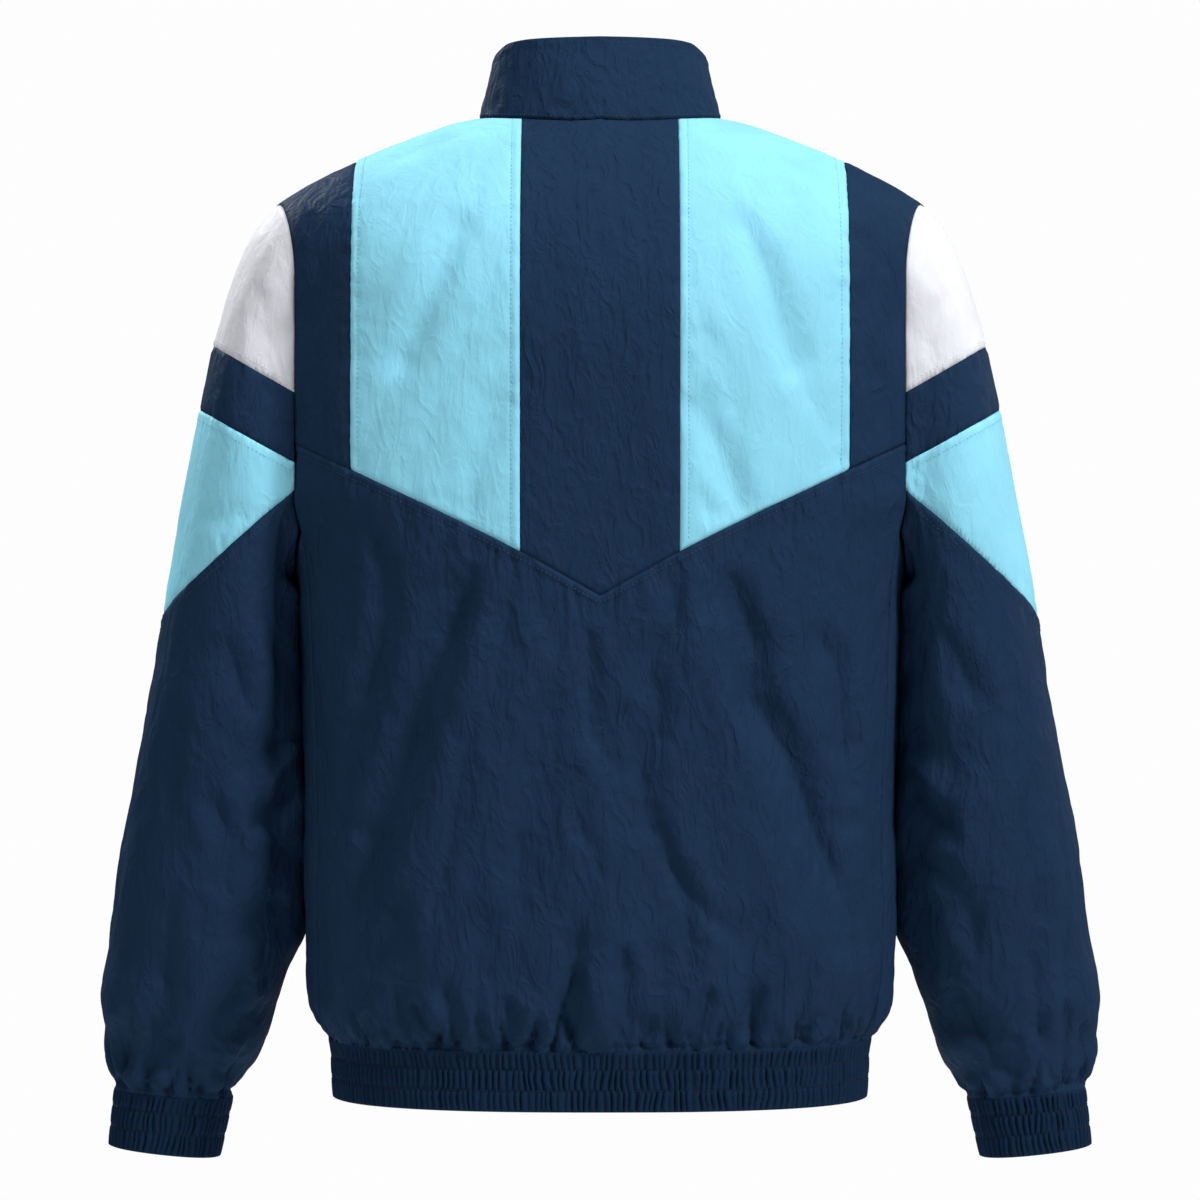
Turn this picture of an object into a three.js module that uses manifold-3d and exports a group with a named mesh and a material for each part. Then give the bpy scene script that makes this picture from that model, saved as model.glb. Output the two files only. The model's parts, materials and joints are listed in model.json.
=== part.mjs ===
// A windbreaker jacket, filled out and hollow, as it hangs on the person who wears it.
// Millimetres, +Z up. The front faces -Y and the wearer's left is +X.
// The origin is the middle of the neck opening, level with the sides of the neck.
import * as THREE from "three";
import Module from "manifold-3d";
import { mergeVertices } from "three/addons/utils/BufferGeometryUtils.js";

const wasm = await Module();
wasm.setup();

const { degToRad, radToDeg, lerp, clamp, smoothstep } = THREE.MathUtils;
const QUARTER_TURN = Math.PI / 2;

// Cloth walls and the gap left between sewn pieces
const CLOTH_WALL = 1.2;
const COLLAR_WALL = 2.4;
const BAND_WALL = 2.2;
const SEAM_GAP = 0.3;

// Body: a squared oval ring, full at the chest and blowsed over the hem band
const CHEST_HALF_WIDTH = 240;
const RING_POWER_X = 2.6;
const RING_POWER_Y = 2.2;
const HEM_TOP = -665;
const HEM_BOTTOM = -706;
const BODY_RINGS = [
  { z: -706, width: 193, depth: 117 },
  { z: -689, width: 194, depth: 118 },
  { z: -674, width: 194.5, depth: 118 },
  { z: -666, width: 196, depth: 119 },
  { z: -658, width: 201, depth: 123 },
  { z: -645, width: 208, depth: 127 },
  { z: -616, width: 213, depth: 131 },
  { z: -543, width: 214, depth: 131 },
  { z: -488, width: 213.5, depth: 130 },
  { z: -428, width: 216, depth: 130 },
  { z: -370, width: 218, depth: 130 },
  { z: -337, width: 221, depth: 130 },
  { z: -300, width: 228, depth: 130 },
  { z: -270, width: CHEST_HALF_WIDTH, depth: 130 },
  { z: -100, width: CHEST_HALF_WIDTH, depth: 130 },
];

// Shoulders: the ridge's height, and how far below it the body reaches its full depth
const RIDGE = [
  { x: 0, z: 17 },
  { x: 44, z: 10 },
  { x: 88, z: 0 },
  { x: 105, z: -3.6 },
  { x: 137, z: -14.5 },
  { x: 168, z: -27 },
  { x: 203, z: -43.5 },
  { x: 228, z: -58 },
  { x: 235, z: -63 },
];
const DROP_AT_NECK = 200;
const DROP_AT_SHOULDER = 65;
const DROP_POWER = 1.2;
const ROUND_BACK = 2;
const ROUND_CHEST = 1.4;
const ROUND_CHEST_END = 160;
const FAN_POWER = 0.77;

// Neck opening in plan
const NECK_HALF_WIDTH = 88;
const NECK_BACK = 60;
const NECK_FRONT = 75;

// Seams of the back, and the armhole
const STRIPE_INNER = 56;
const STRIPE_OUTER = 176;
const ARMHOLE_X = 217;
const SHOULDER_TIP = 235;
const CHEVRON = [
  { x: 0, z: -345 },
  { x: STRIPE_INNER, z: -314 },
  { x: STRIPE_OUTER, z: -256 },
  { x: ARMHOLE_X, z: -237 },
];
const CHEVRON_SIDE = CHEVRON[3].z;
const SIDE_ANGLES = [66, 76, 90, 76, 66];
const ZIP_EDGE = 5.35;

// Rows of the body below the V seam, by their height at the side
const ARMHOLE_ROWS = [-270, -300, -325, -337];
const LOWER_ROWS = [-378, -424, -472, -522, -570, -610, -642, HEM_TOP];
const YOKE_ROWS = 5;
const PANEL_ROWS = 3;

// Largest folds of the body: a soft trough from one point to another, a ridge where depth is negative
const BODY_FOLDS = [
  { facing: 1, x: -93, z: -350, toX: -173, toZ: -590, width: 15, depth: 5 },
  { facing: 1, x: -66, z: -375, toX: -142, toZ: -600, width: 17, depth: -3.5 },
  { facing: 1, x: 104, z: -345, toX: 168, toZ: -560, width: 15, depth: 4.5 },
  { facing: 1, x: 76, z: -380, toX: 130, toZ: -600, width: 17, depth: -3 },
  { facing: 1, x: -20, z: -440, toX: -48, toZ: -620, width: 17, depth: 3.5 },
  { facing: 1, x: 34, z: -430, toX: 62, toZ: -610, width: 17, depth: 3.5 },
  { facing: 1, x: 2, z: -460, toX: 6, toZ: -630, width: 15, depth: -2.5 },
  { facing: 1, x: -101, z: -90, toX: -137, toZ: -178, width: 15, depth: 4.5 },
  { facing: 1, x: -72, z: -214, toX: -95, toZ: -280, width: 14, depth: 3.5 },
  { facing: 1, x: 101, z: -90, toX: 137, toZ: -178, width: 15, depth: 4.5 },
  { facing: 1, x: 72, z: -214, toX: 95, toZ: -280, width: 14, depth: 3.5 },
  { facing: 1, x: 186, z: -95, toX: 205, toZ: -150, width: 13, depth: 3.5 },
  { facing: 1, x: -186, z: -95, toX: -205, toZ: -150, width: 13, depth: 3.5 },
  { facing: -1, x: 95, z: -90, toX: 150, toZ: -240, width: 18, depth: 5 },
  { facing: -1, x: -100, z: -100, toX: -146, toZ: -230, width: 18, depth: 5 },
  { facing: -1, x: 70, z: -300, toX: 120, toZ: -560, width: 18, depth: 4.5 },
  { facing: -1, x: -62, z: -320, toX: -128, toZ: -590, width: 18, depth: 4.5 },
  { facing: -1, x: 150, z: -360, toX: 176, toZ: -600, width: 16, depth: 4 },
  { facing: -1, x: -158, z: -380, toX: -180, toZ: -580, width: 16, depth: 4 },
];
const HEM_FOLDS = [
  { facing: 1, x: -150, lean: -14, height: 62, width: 12, depth: 4 },
  { facing: 1, x: -98, lean: -10, height: 84, width: 12, depth: 4 },
  { facing: 1, x: -40, lean: 8, height: 66, width: 12, depth: 3.5 },
  { facing: 1, x: 18, lean: 4, height: 74, width: 12, depth: 4 },
  { facing: 1, x: 78, lean: 12, height: 88, width: 12, depth: 4 },
  { facing: 1, x: 136, lean: 10, height: 64, width: 12, depth: 4 },
  { facing: -1, x: -138, lean: -12, height: 70, width: 12, depth: 4 },
  { facing: -1, x: -80, lean: -8, height: 84, width: 12, depth: 4 },
  { facing: -1, x: 84, lean: 9, height: 76, width: 12, depth: 4 },
  { facing: -1, x: 142, lean: 12, height: 68, width: 12, depth: 4 },
];
const FOLD_FREE_FROM = 12;
const FOLD_FREE_TO = 45;

// Stand collar: the height of its top edge round the neck, by degrees from the centre back
const COLLAR_TOP = [
  { turn: 0, z: 54 },
  { turn: 40, z: 53.5 },
  { turn: 60, z: 52 },
  { turn: 75, z: 47.5 },
  { turn: 90, z: 43 },
  { turn: 120, z: 30 },
  { turn: 150, z: 14 },
  { turn: 180, z: 4 },
];
const COLLAR_LEAN = 0.25;
const COLLAR_ROWS = 3;

// Sleeve sections from the armhole to the cuff: outer and inner edge seen from the back,
// half depth, and how far forward the middle lies
const SLEEVE = [
  { at: 0, outX: 235, outZ: -63, inX: 221, inZ: -337, depth: 66, middle: 0 },
  { at: 1, outX: 252, outZ: -84, inX: 226, inZ: -348, depth: 68, middle: -1 },
  { at: 2, outX: 268, outZ: -122, inX: 225, inZ: -362, depth: 72, middle: -2 },
  { at: 3, outX: 280, outZ: -165, inX: 224, inZ: -380, depth: 75, middle: -4 },
  { at: 4, outX: 290, outZ: -210, inX: 223, inZ: -402, depth: 76, middle: -6 },
  { at: 5, outX: 299, outZ: -256, inX: 222, inZ: -428, depth: 77, middle: -8 },
  { at: 6, outX: 309, outZ: -309, inX: 221, inZ: -458, depth: 77, middle: -11 },
  { at: 7, outX: 319, outZ: -367, inX: 219.5, inZ: -492, depth: 76, middle: -14 },
  { at: 8, outX: 329, outZ: -428, inX: 218.5, inZ: -528, depth: 74.5, middle: -16 },
  { at: 9, outX: 340, outZ: -487, inX: 217.5, inZ: -562, depth: 72, middle: -19 },
  { at: 10, outX: 351, outZ: -543, inX: 219.5, inZ: -592, depth: 69, middle: -22 },
  { at: 11, outX: 359, outZ: -597, inX: 228, inZ: -621, depth: 65, middle: -25 },
  { at: 12, outX: 364.5, outZ: -640, inX: 238.5, inZ: -653, depth: 60, middle: -27.5 },
  { at: 13, outX: 364.5, outZ: -668, inX: 248.5, inZ: -679, depth: 53, middle: -29 },
  { at: 14, outX: 361.5, outZ: -690, inX: 258, inZ: -697, depth: 44, middle: -30 },
  { at: 15, outX: 354.7, outZ: -704, inX: 268.6, inZ: -711, depth: 36, middle: -30 },
];
const SLEEVE_STATIONS = [0, 0.8, 1.7, 2.7, 3.8, 5, 6.3, 7.6, 8.9, 10.1, 11, 11.8, 12.5, 13.2, 13.8, 14.5, 15];
const SLEEVE_POWER = 2.2;
const SLEEVE_ROUND_BY = 3;
const SLEEVE_FOLD_WIDTH = 0.55;

// Largest folds of a sleeve: station along it, degrees round it from the outer edge by the back,
// how far round each reaches, its slant in stations, and its depth
const SLEEVE_FOLDS = [
  { at: 4.6, turn: 150, reach: 38, slant: 0.8, depth: 3.5 },
  { at: 6.4, turn: 145, reach: 36, slant: -0.8, depth: 4.5 },
  { at: 8.2, turn: 140, reach: 40, slant: 0.9, depth: 4.5 },
  { at: 9.8, turn: 130, reach: 42, slant: -0.7, depth: 4 },
  { at: 11.2, turn: 60, reach: 55, slant: 0.5, depth: 4 },
  { at: 12.2, turn: 110, reach: 60, slant: -0.4, depth: 5 },
  { at: 13.2, turn: 50, reach: 50, slant: 0.3, depth: 5 },
  { at: 13.6, turn: 140, reach: 40, slant: 0.3, depth: 4 },
  { at: 6, turn: 235, reach: 40, slant: 0.8, depth: 4 },
  { at: 8, turn: 230, reach: 42, slant: -0.8, depth: 4.5 },
  { at: 11.6, turn: 270, reach: 60, slant: 0.5, depth: 4.5 },
  { at: 13, turn: 290, reach: 55, slant: -0.4, depth: 5 },
];

// Seams across a sleeve, seen from the back
const CAP_SEAM = [
  { x: 208, z: -205.7 },
  { x: 400, z: -96.6 },
];
const BAND_SEAM = [
  { x: 208, z: -255.3 },
  { x: 400, z: -150.6 },
];
const WEDGE_SEAM = [
  { x: 208, z: -261.9 },
  { x: 308, z: -348 },
  { x: 400, z: -454 },
];
const CUT_TOP = 100;
const CUT_BOTTOM = -900;
const CUT_HALF_DEPTH = 200;

// Shirred bands: the channels' rows from top to bottom, and how far the gathers stand in each
const BAND_ROWS = [
  { part: 0, swell: 0, wave: 0.55 },
  { part: 0.28, swell: -0.5, wave: 0.3 },
  { part: 0.46, swell: 0.5, wave: 0.8 },
  { part: 0.645, swell: -0.5, wave: 0.3 },
  { part: 1, swell: 0.3, wave: 0.8 },
];
const HEM_GATHERS = 120;
const CUFF_GATHERS = 40;
const INNER_STEP = 4;
const CUFF_TOP = { outX: 354.7, outZ: -704, inX: 268.6, inZ: -711, depth: 36, middle: -30 };
const CUFF_BOTTOM = { outX: 359, outZ: -745, inX: 278, inZ: -754, depth: 34, middle: -31 };

// Zip: depths are measured outwards from the cloth's outer face at the centre front
const TAPE_FROM = 1.6;
const TAPE_TO = 5.2;
const TAPE_BACK = -1.4;
const TAPE_FACE = -0.4;
const CHAIN_HALF = 2.9;
const CHAIN_BACK = -0.1;
const CHAIN_FACE = 1.3;
const BOX_HEIGHT = 9;
const BOX_BACK = -1.9;
const BOX_FACE = 1.7;

// Slider, with its crown, and the pull tab that turns in the crown
const SLIDER_BELOW_EDGE = 8;
const SLIDER_LENGTH = 12;
const SLIDER_TOP_HALF = 4.4;
const SLIDER_FOOT_HALF = 3.9;
const SLIDER_CORNER = 1.2;
const PLATE = 1.2;
const CLEAR = 0.3;
const BRIDGE_HALF = 1.2;
const BRIDGE_FROM = 2.6;
const FLANGE = 1;
const CROWN_HALF_WIDTH = 1;
const CROWN_BAR = 0.9;
const CROWN_HOLE_HALF = 2.6;
const CROWN_HOLE_HEIGHT = 2.6;
const PULL_THICK = 1.2;
const PULL_HALF_WIDTH = 3.4;
const PULL_FOOT_HALF = 2.6;
const PULL_LENGTH = 26;
const PULL_BAR_HALF = 0.6;
const PULL_SLOT_HALF = 1.6;
const PULL_SLOT_END = 4.9;

const COLOURS = {
  navy: { color: 0x1b3048, roughness: 0.55, metalness: 0 },
  lightBlue: { color: 0x84cce0, roughness: 0.5, metalness: 0 },
  white: { color: 0xe4e6ec, roughness: 0.55, metalness: 0 },
  band: { color: 0x162841, roughness: 0.75, metalness: 0 },
  tape: { color: 0x15253b, roughness: 0.8, metalness: 0 },
  teeth: { color: 0x12202f, roughness: 0.35, metalness: 0 },
  metal: { color: 0x20242b, roughness: 0.4, metalness: 0.7 },
};

const root = new THREE.Group();

function addMesh(name, geometry, colour, parent = root) {
  const mesh = new THREE.Mesh(geometry, new THREE.MeshStandardMaterial(COLOURS[colour]));
  mesh.name = name;
  parent.add(mesh);
  return mesh;
}

// Reads a column of a table at a value of its key, on a smooth curve that never overshoots a row.
function readTable(rows, key, column, at) {
  const last = rows.length - 1;
  let index = 0;
  while (index < last - 1 && at > rows[index + 1][key]) index += 1;
  const slopeOf = (i) => (rows[i + 1][column] - rows[i][column]) / (rows[i + 1][key] - rows[i][key]);
  const tangentAt = (i) => {
    if (i === 0) return slopeOf(0);
    if (i === last) return slopeOf(last - 1);
    const before = slopeOf(i - 1);
    const after = slopeOf(i);
    return before * after > 0 ? (2 * before * after) / (before + after) : 0;
  };
  const from = rows[index];
  const to = rows[index + 1];
  const span = to[key] - from[key];
  const part = clamp((at - from[key]) / span, 0, 1);
  const rise = part * part * (3 - 2 * part);
  const leave = part * (1 - part) * (1 - part) * span * tangentAt(index);
  const arrive = part * part * (part - 1) * span * tangentAt(index + 1);
  return lerp(from[column], to[column], rise) + leave + arrive;
}

function spread(from, to, count) {
  return Array.from({ length: count + 1 }, (_, i) => lerp(from, to, i / count));
}

function signedPower(value, power) {
  return Math.sign(value) * Math.abs(value) ** power;
}

// Body surface

function ringDepthAt(x, z) {
  const across = Math.min(x / readTable(BODY_RINGS, "z", "width", z), 1);
  const depth = readTable(BODY_RINGS, "z", "depth", z);
  return depth * (1 - across ** RING_POWER_X) ** (1 / RING_POWER_Y);
}

function ringX(low, z) {
  const narrowing = readTable(BODY_RINGS, "z", "width", z) - CHEST_HALF_WIDTH;
  return low + narrowing * (low / CHEST_HALF_WIDTH) ** 3;
}

function shoulderDrop(x) {
  return DROP_AT_NECK - (DROP_AT_NECK - DROP_AT_SHOULDER) * (x / ARMHOLE_X) ** DROP_POWER;
}

function roundness(x, facing) {
  if (facing > 0) return ROUND_BACK;
  return lerp(ROUND_CHEST, ROUND_BACK, Math.min(x / ROUND_CHEST_END, 1));
}

// A point over the shoulder: part is 0 at the neck or shoulder seam and 1 at the full depth.
function yokePoint(column, part) {
  const fan = (1 - Math.sin(part * QUARTER_TURN)) ** FAN_POWER;
  const x = column.low + (column.top - column.low) * fan;
  const power = roundness(column.low, column.facing);
  const neckDepth = column.facing > 0 ? NECK_BACK : NECK_FRONT;
  const onNeck = Math.max(0, 1 - (column.top / NECK_HALF_WIDTH) ** 2);
  const neckY = neckDepth * Math.sqrt(onNeck);
  const startDepth = ringDepthAt(column.top, BODY_RINGS.at(-1).z);
  const start = column.top < NECK_HALF_WIDTH ? Math.asin((neckY / startDepth) ** (power / 2)) : 0;
  const angle = lerp(start, QUARTER_TURN, part);
  const depth = ringDepthAt(Math.min(x, column.low + 1), BODY_RINGS.at(-1).z);
  const drop = shoulderDrop(Math.min(x, ARMHOLE_X));
  const y = lerp(depth, startDepth, fan * (column.top < NECK_HALF_WIDTH ? 1 : 0));
  return new THREE.Vector3(
    x,
    column.facing * y * Math.sin(angle) ** (2 / power),
    readTable(RIDGE, "x", "z", x) - drop * (1 - Math.cos(angle) ** (2 / power)),
  );
}

function chevronHeight(column) {
  const onBack = column.facing > 0 && column.low < ARMHOLE_X;
  return onBack ? readTable(CHEVRON, "x", "z", column.low) : CHEVRON_SIDE;
}

function bodyPoint(column, row) {
  if (row <= YOKE_ROWS) return yokePoint(column, row / YOKE_ROWS);
  const seam = chevronHeight(column);
  let z;
  if (row <= CHEVRON_ROW) {
    const full = readTable(RIDGE, "x", "z", column.low) - shoulderDrop(Math.min(column.low, ARMHOLE_X));
    z = lerp(full, seam, (row - YOKE_ROWS) / PANEL_ROWS);
  } else {
    const side = SIDE_ROWS[row - CHEVRON_ROW - 1];
    z = side + (seam - CHEVRON_SIDE) * ((side - HEM_TOP) / (CHEVRON_SIDE - HEM_TOP));
  }
  const x = ringX(column.low, z);
  return new THREE.Vector3(x, column.facing * ringDepthAt(x, z), z);
}

const SIDE_ROWS = [...ARMHOLE_ROWS, ...LOWER_ROWS];
const CHEVRON_ROW = YOKE_ROWS + PANEL_ROWS;
const LAST_ROW = CHEVRON_ROW + SIDE_ROWS.length;

function neckSpread(fromX, toX, count) {
  const angleOf = (x) => Math.asin(x / NECK_HALF_WIDTH);
  return spread(angleOf(fromX), angleOf(toX), count).map((angle) => NECK_HALF_WIDTH * Math.sin(angle));
}

// The columns of half a body: centre back, stripe, side back, side, front. low is x at the chest,
// top is x at the neck or shoulder, and firstRow is the first row that the armhole leaves.
function halfColumns() {
  const backLow = [
    ...spread(0, STRIPE_INNER, 3),
    ...spread(STRIPE_INNER, STRIPE_OUTER, 7).slice(1),
    ...spread(STRIPE_OUTER, ARMHOLE_X, 2).slice(1),
  ];
  const backTop = [
    ...spread(0, STRIPE_INNER, 3),
    ...neckSpread(STRIPE_INNER, NECK_HALF_WIDTH, 3).slice(1),
    ...spread(NECK_HALF_WIDTH, STRIPE_OUTER, 4).slice(1),
    ...spread(STRIPE_OUTER, SHOULDER_TIP, 2).slice(1),
  ];
  const frontLow = spread(ARMHOLE_X, ZIP_EDGE, 10);
  const frontTop = [
    ...spread(SHOULDER_TIP, STRIPE_OUTER, 2),
    ...spread(STRIPE_OUTER, NECK_HALF_WIDTH, 4).slice(1),
    ...neckSpread(NECK_HALF_WIDTH, ZIP_EDGE, 4).slice(1),
  ];
  const armholeRows = [2, 3, 4, 3, 2];
  const side = SIDE_ANGLES.map((angle, i) => {
    const low = CHEST_HALF_WIDTH * Math.sin(degToRad(angle)) ** (2 / RING_POWER_X);
    return { low, top: low, facing: i < 3 ? 1 : -1, firstRow: CHEVRON_ROW + armholeRows[i] };
  });
  const back = backLow.map((low, i) => ({ low, top: backTop[i], facing: 1, firstRow: 0 }));
  const front = frontLow.map((low, i) => ({ low, top: frontTop[i], facing: -1, firstRow: 0 }));
  return [...back, ...side, ...front];
}

const COLUMNS = halfColumns();
const STRIPE_START = 3;
const NECK_COLUMN = 6;
const STRIPE_END = 10;
const ARMHOLE_BACK = 12;
const SIDE_SEAM = 13;
const ARMHOLE_FRONT = 18;
const FRONT_NECK_COLUMN = 24;
const ZIP_COLUMN = COLUMNS.length - 1;

function foldDepth(folds, facing, x, z) {
  let total = 0;
  for (const fold of folds) {
    if (fold.facing !== facing) continue;
    const run = new THREE.Vector2(fold.toX - fold.x, fold.toZ - fold.z);
    const from = new THREE.Vector2(x - fold.x, z - fold.z);
    const along = clamp(from.dot(run) / run.lengthSq(), 0, 1);
    const away = from.addScaledVector(run, -along).length();
    total += fold.depth * Math.exp(-((away / fold.width) ** 2));
  }
  return total;
}

const HEM_FOLD_LINES = HEM_FOLDS.map((fold) => ({
  ...fold,
  z: HEM_TOP + fold.height,
  toX: fold.x + fold.lean,
  toZ: HEM_TOP + 12,
}));

function bodyFoldDepth(facing, x, z) {
  const sway = foldDepth([...BODY_FOLDS, ...HEM_FOLD_LINES], facing, x, z);
  const front = facing < 0 ? smoothstep(Math.abs(x), FOLD_FREE_FROM, FOLD_FREE_TO) : 1;
  const low = smoothstep(z, HEM_TOP, HEM_TOP + 18);
  return sway * front * low;
}

// Points of the whole body, by column and row. A negative column is the wearer's right.
function bodyPoints() {
  const points = new Map();
  for (let index = -ZIP_COLUMN; index <= ZIP_COLUMN; index += 1) {
    const column = COLUMNS[Math.abs(index)];
    for (let row = column.firstRow; row <= LAST_ROW; row += 1) {
      const point = bodyPoint(column, row);
      if (index < 0) point.x = -point.x;
      const depth = column.firstRow === 0 ? bodyFoldDepth(column.facing, point.x, point.z) : 0;
      const out = new THREE.Vector3(0, column.facing, 0);
      points.set(`${index},${row}`, point.addScaledVector(out, -depth));
    }
  }
  return points;
}

const BODY = bodyPoints();
const bodyAt = (column, row) => BODY.get(`${column},${row}`);

// Triangles of a panel: each cell of its columns and rows, or the half of it outside the armhole
function bodyPanel(fromColumn, toColumn, fromRow, toRow) {
  const triangles = [];
  for (let column = fromColumn; column < toColumn; column += 1) {
    for (let row = fromRow; row < toRow; row += 1) {
      const corners = [
        bodyAt(column, row),
        bodyAt(column, row + 1),
        bodyAt(column + 1, row + 1),
        bodyAt(column + 1, row),
      ].filter(Boolean);
      if (corners.length >= 3) triangles.push([corners[0], corners[2], corners[1]]);
      if (corners.length === 4) triangles.push([corners[0], corners[3], corners[2]]);
    }
  }
  return triangles;
}

function gridTriangles(rows, closed) {
  const triangles = [];
  const count = rows[0].length;
  const steps = closed ? count : count - 1;
  for (let row = 0; row < rows.length - 1; row += 1) {
    for (let i = 0; i < steps; i += 1) {
      const next = (i + 1) % count;
      triangles.push([rows[row][i], rows[row + 1][i], rows[row + 1][next]]);
      triangles.push([rows[row][i], rows[row + 1][next], rows[row][next]]);
    }
  }
  return triangles;
}

function flip(triangles) {
  return triangles.map(([a, b, c]) => [a, c, b]);
}

function mirror(triangles) {
  const across = (point) => new THREE.Vector3(-point.x, point.y, point.z);
  return flip(triangles).map((triangle) => triangle.map(across));
}

// Collar: rows from the neck seam to the top edge, leaning in

function neckEdge() {
  const right = [];
  for (let i = ZIP_COLUMN; i > FRONT_NECK_COLUMN; i -= 1) right.push(bodyAt(-i, 0));
  const back = [];
  for (let i = -NECK_COLUMN; i <= NECK_COLUMN; i += 1) back.push(bodyAt(i, 0));
  const left = [];
  for (let i = FRONT_NECK_COLUMN + 1; i <= ZIP_COLUMN; i += 1) left.push(bodyAt(i, 0));
  return [...right, ...back, ...left];
}

function collarPoint(base, part) {
  const neckDepth = base.y > 0 ? NECK_BACK : NECK_FRONT;
  const atZip = Math.abs(base.x) < ZIP_EDGE + 1;
  const sideways = atZip ? 0 : base.x / NECK_HALF_WIDTH ** 2;
  const outward = new THREE.Vector3(sideways, base.y / neckDepth ** 2, 0).normalize();
  const turn = radToDeg(Math.atan2(Math.abs(base.x) / NECK_HALF_WIDTH, base.y / neckDepth));
  const top = readTable(COLLAR_TOP, "turn", "z", turn);
  const rise = (top - base.z) * part;
  return base.clone().addScaledVector(outward, -COLLAR_LEAN * rise).setZ(base.z + rise);
}

function collarRows() {
  return spread(1, 0, COLLAR_ROWS).map((part) => neckEdge().map((base) => collarPoint(base, part)));
}

// Sleeves

function armholeLoop() {
  const loop = [];
  for (let row = 0; row <= CHEVRON_ROW + 1; row += 1) loop.push(bodyAt(ARMHOLE_BACK, row));
  for (let column = SIDE_SEAM; column < ARMHOLE_FRONT; column += 1) {
    loop.push(bodyAt(column, COLUMNS[column].firstRow));
  }
  for (let row = CHEVRON_ROW + 1; row > 0; row -= 1) loop.push(bodyAt(ARMHOLE_FRONT, row));
  return loop;
}

// A cross-section of a sleeve or cuff, in a plane that runs front to back
function sectionFrame(row) {
  const outer = new THREE.Vector3(row.outX, row.middle, row.outZ);
  const inner = new THREE.Vector3(row.inX, row.middle, row.inZ);
  const centre = outer.clone().add(inner).multiplyScalar(0.5);
  const reach = outer.clone().sub(centre);
  const along = reach.clone().normalize();
  const away = new THREE.Vector3(-along.z, 0, along.x);
  if (away.x < 0) away.negate();
  return { centre, along, away, half: reach.length(), depth: row.depth };
}

function sectionPoint(frame, a, b, off) {
  return frame.centre
    .clone()
    .addScaledVector(frame.along, a * frame.half)
    .addScaledVector(frame.away, off)
    .setY(frame.centre.y + b * frame.depth);
}

function readSection(at) {
  const read = (column) => readTable(SLEEVE, "at", column, at);
  return {
    outX: read("outX"),
    outZ: read("outZ"),
    inX: read("inX"),
    inZ: read("inZ"),
    depth: read("depth"),
    middle: read("middle"),
  };
}

function sleeveFoldDepth(at, turn) {
  let total = 0;
  for (const fold of SLEEVE_FOLDS) {
    const round = (turn - fold.turn) / fold.reach;
    const along = (at - fold.at - fold.slant * round) / SLEEVE_FOLD_WIDTH;
    total += fold.depth * Math.exp(-(along ** 2) - round ** 2);
  }
  return total * smoothstep(at, 0.5, 2) * (1 - smoothstep(at, 14.3, 15));
}

function sleeveRows() {
  const loop = armholeLoop();
  const half = loop.indexOf(bodyAt(SIDE_SEAM + 2, COLUMNS[SIDE_SEAM + 2].firstRow));
  const distances = [0];
  loop.forEach((point, i) => {
    const next = loop[(i + 1) % loop.length];
    distances.push(distances[i] + point.distanceTo(next));
  });
  const turns = loop.map((_, i) => {
    if (i <= half) return (180 * distances[i]) / distances[half];
    return 180 + (180 * (distances[i] - distances[half])) / (distances.at(-1) - distances[half]);
  });
  const first = sectionFrame(readSection(0));
  const start = loop.map((point) => {
    const from = point.clone().sub(first.centre);
    return { a: from.dot(first.along) / first.half, b: from.y / first.depth, off: from.dot(first.away) };
  });
  const rows = SLEEVE_STATIONS.slice(1).map((at) => {
    const frame = sectionFrame(readSection(at));
    const roundAt = smoothstep(at, 0, SLEEVE_ROUND_BY);
    return turns.map((turn, i) => {
      const a = signedPower(Math.cos(degToRad(turn)), 2 / SLEEVE_POWER);
      const b = signedPower(Math.sin(degToRad(turn)), 2 / SLEEVE_POWER);
      const inset = 1 - sleeveFoldDepth(at, turn) / frame.depth;
      return sectionPoint(
        frame,
        lerp(start[i].a, a, roundAt) * inset,
        lerp(start[i].b, b, roundAt) * inset,
        start[i].off * (1 - roundAt),
      );
    });
  });
  return [loop, ...rows];
}

// Walls

const keyOf = (point) => [point.x, point.y, point.z].map((v) => Math.round(v * 100)).join();

function faceNormal([a, b, c]) {
  return b.clone().sub(a).cross(c.clone().sub(a));
}

function averageNormals(triangles) {
  const normals = new Map();
  for (const triangle of triangles) {
    const normal = faceNormal(triangle);
    for (const point of triangle) {
      const key = keyOf(point);
      if (!normals.has(key)) normals.set(key, new THREE.Vector3());
      normals.get(key).add(normal);
    }
  }
  for (const normal of normals.values()) normal.normalize();
  return normals;
}

function borderEdges(triangles) {
  const edges = new Map();
  for (const triangle of triangles) {
    triangle.forEach((point, i) => {
      const next = triangle[(i + 1) % 3];
      edges.set(`${keyOf(point)}>${keyOf(next)}`, [point, next]);
    });
  }
  return [...edges.values()].filter(([from, to]) => !edges.has(`${keyOf(to)}>${keyOf(from)}`));
}

// How far each border point moves into its panel, so that neighbours keep the seam gap.
function borderShifts(border, normals) {
  const sides = new Map();
  for (const [from, to] of border) {
    for (const point of [from, to]) {
      const normal = normals.get(keyOf(point));
      const inward = normal.clone().cross(to.clone().sub(from)).normalize();
      sides.set(keyOf(point), [...(sides.get(keyOf(point)) ?? []), inward]);
    }
  }
  const shifts = new Map();
  for (const [key, [one, two]] of sides) {
    const both = one.clone().add(two ?? one);
    shifts.set(key, both.multiplyScalar(SEAM_GAP / 2 / (1 + one.dot(two ?? one))));
  }
  return shifts;
}

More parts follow.
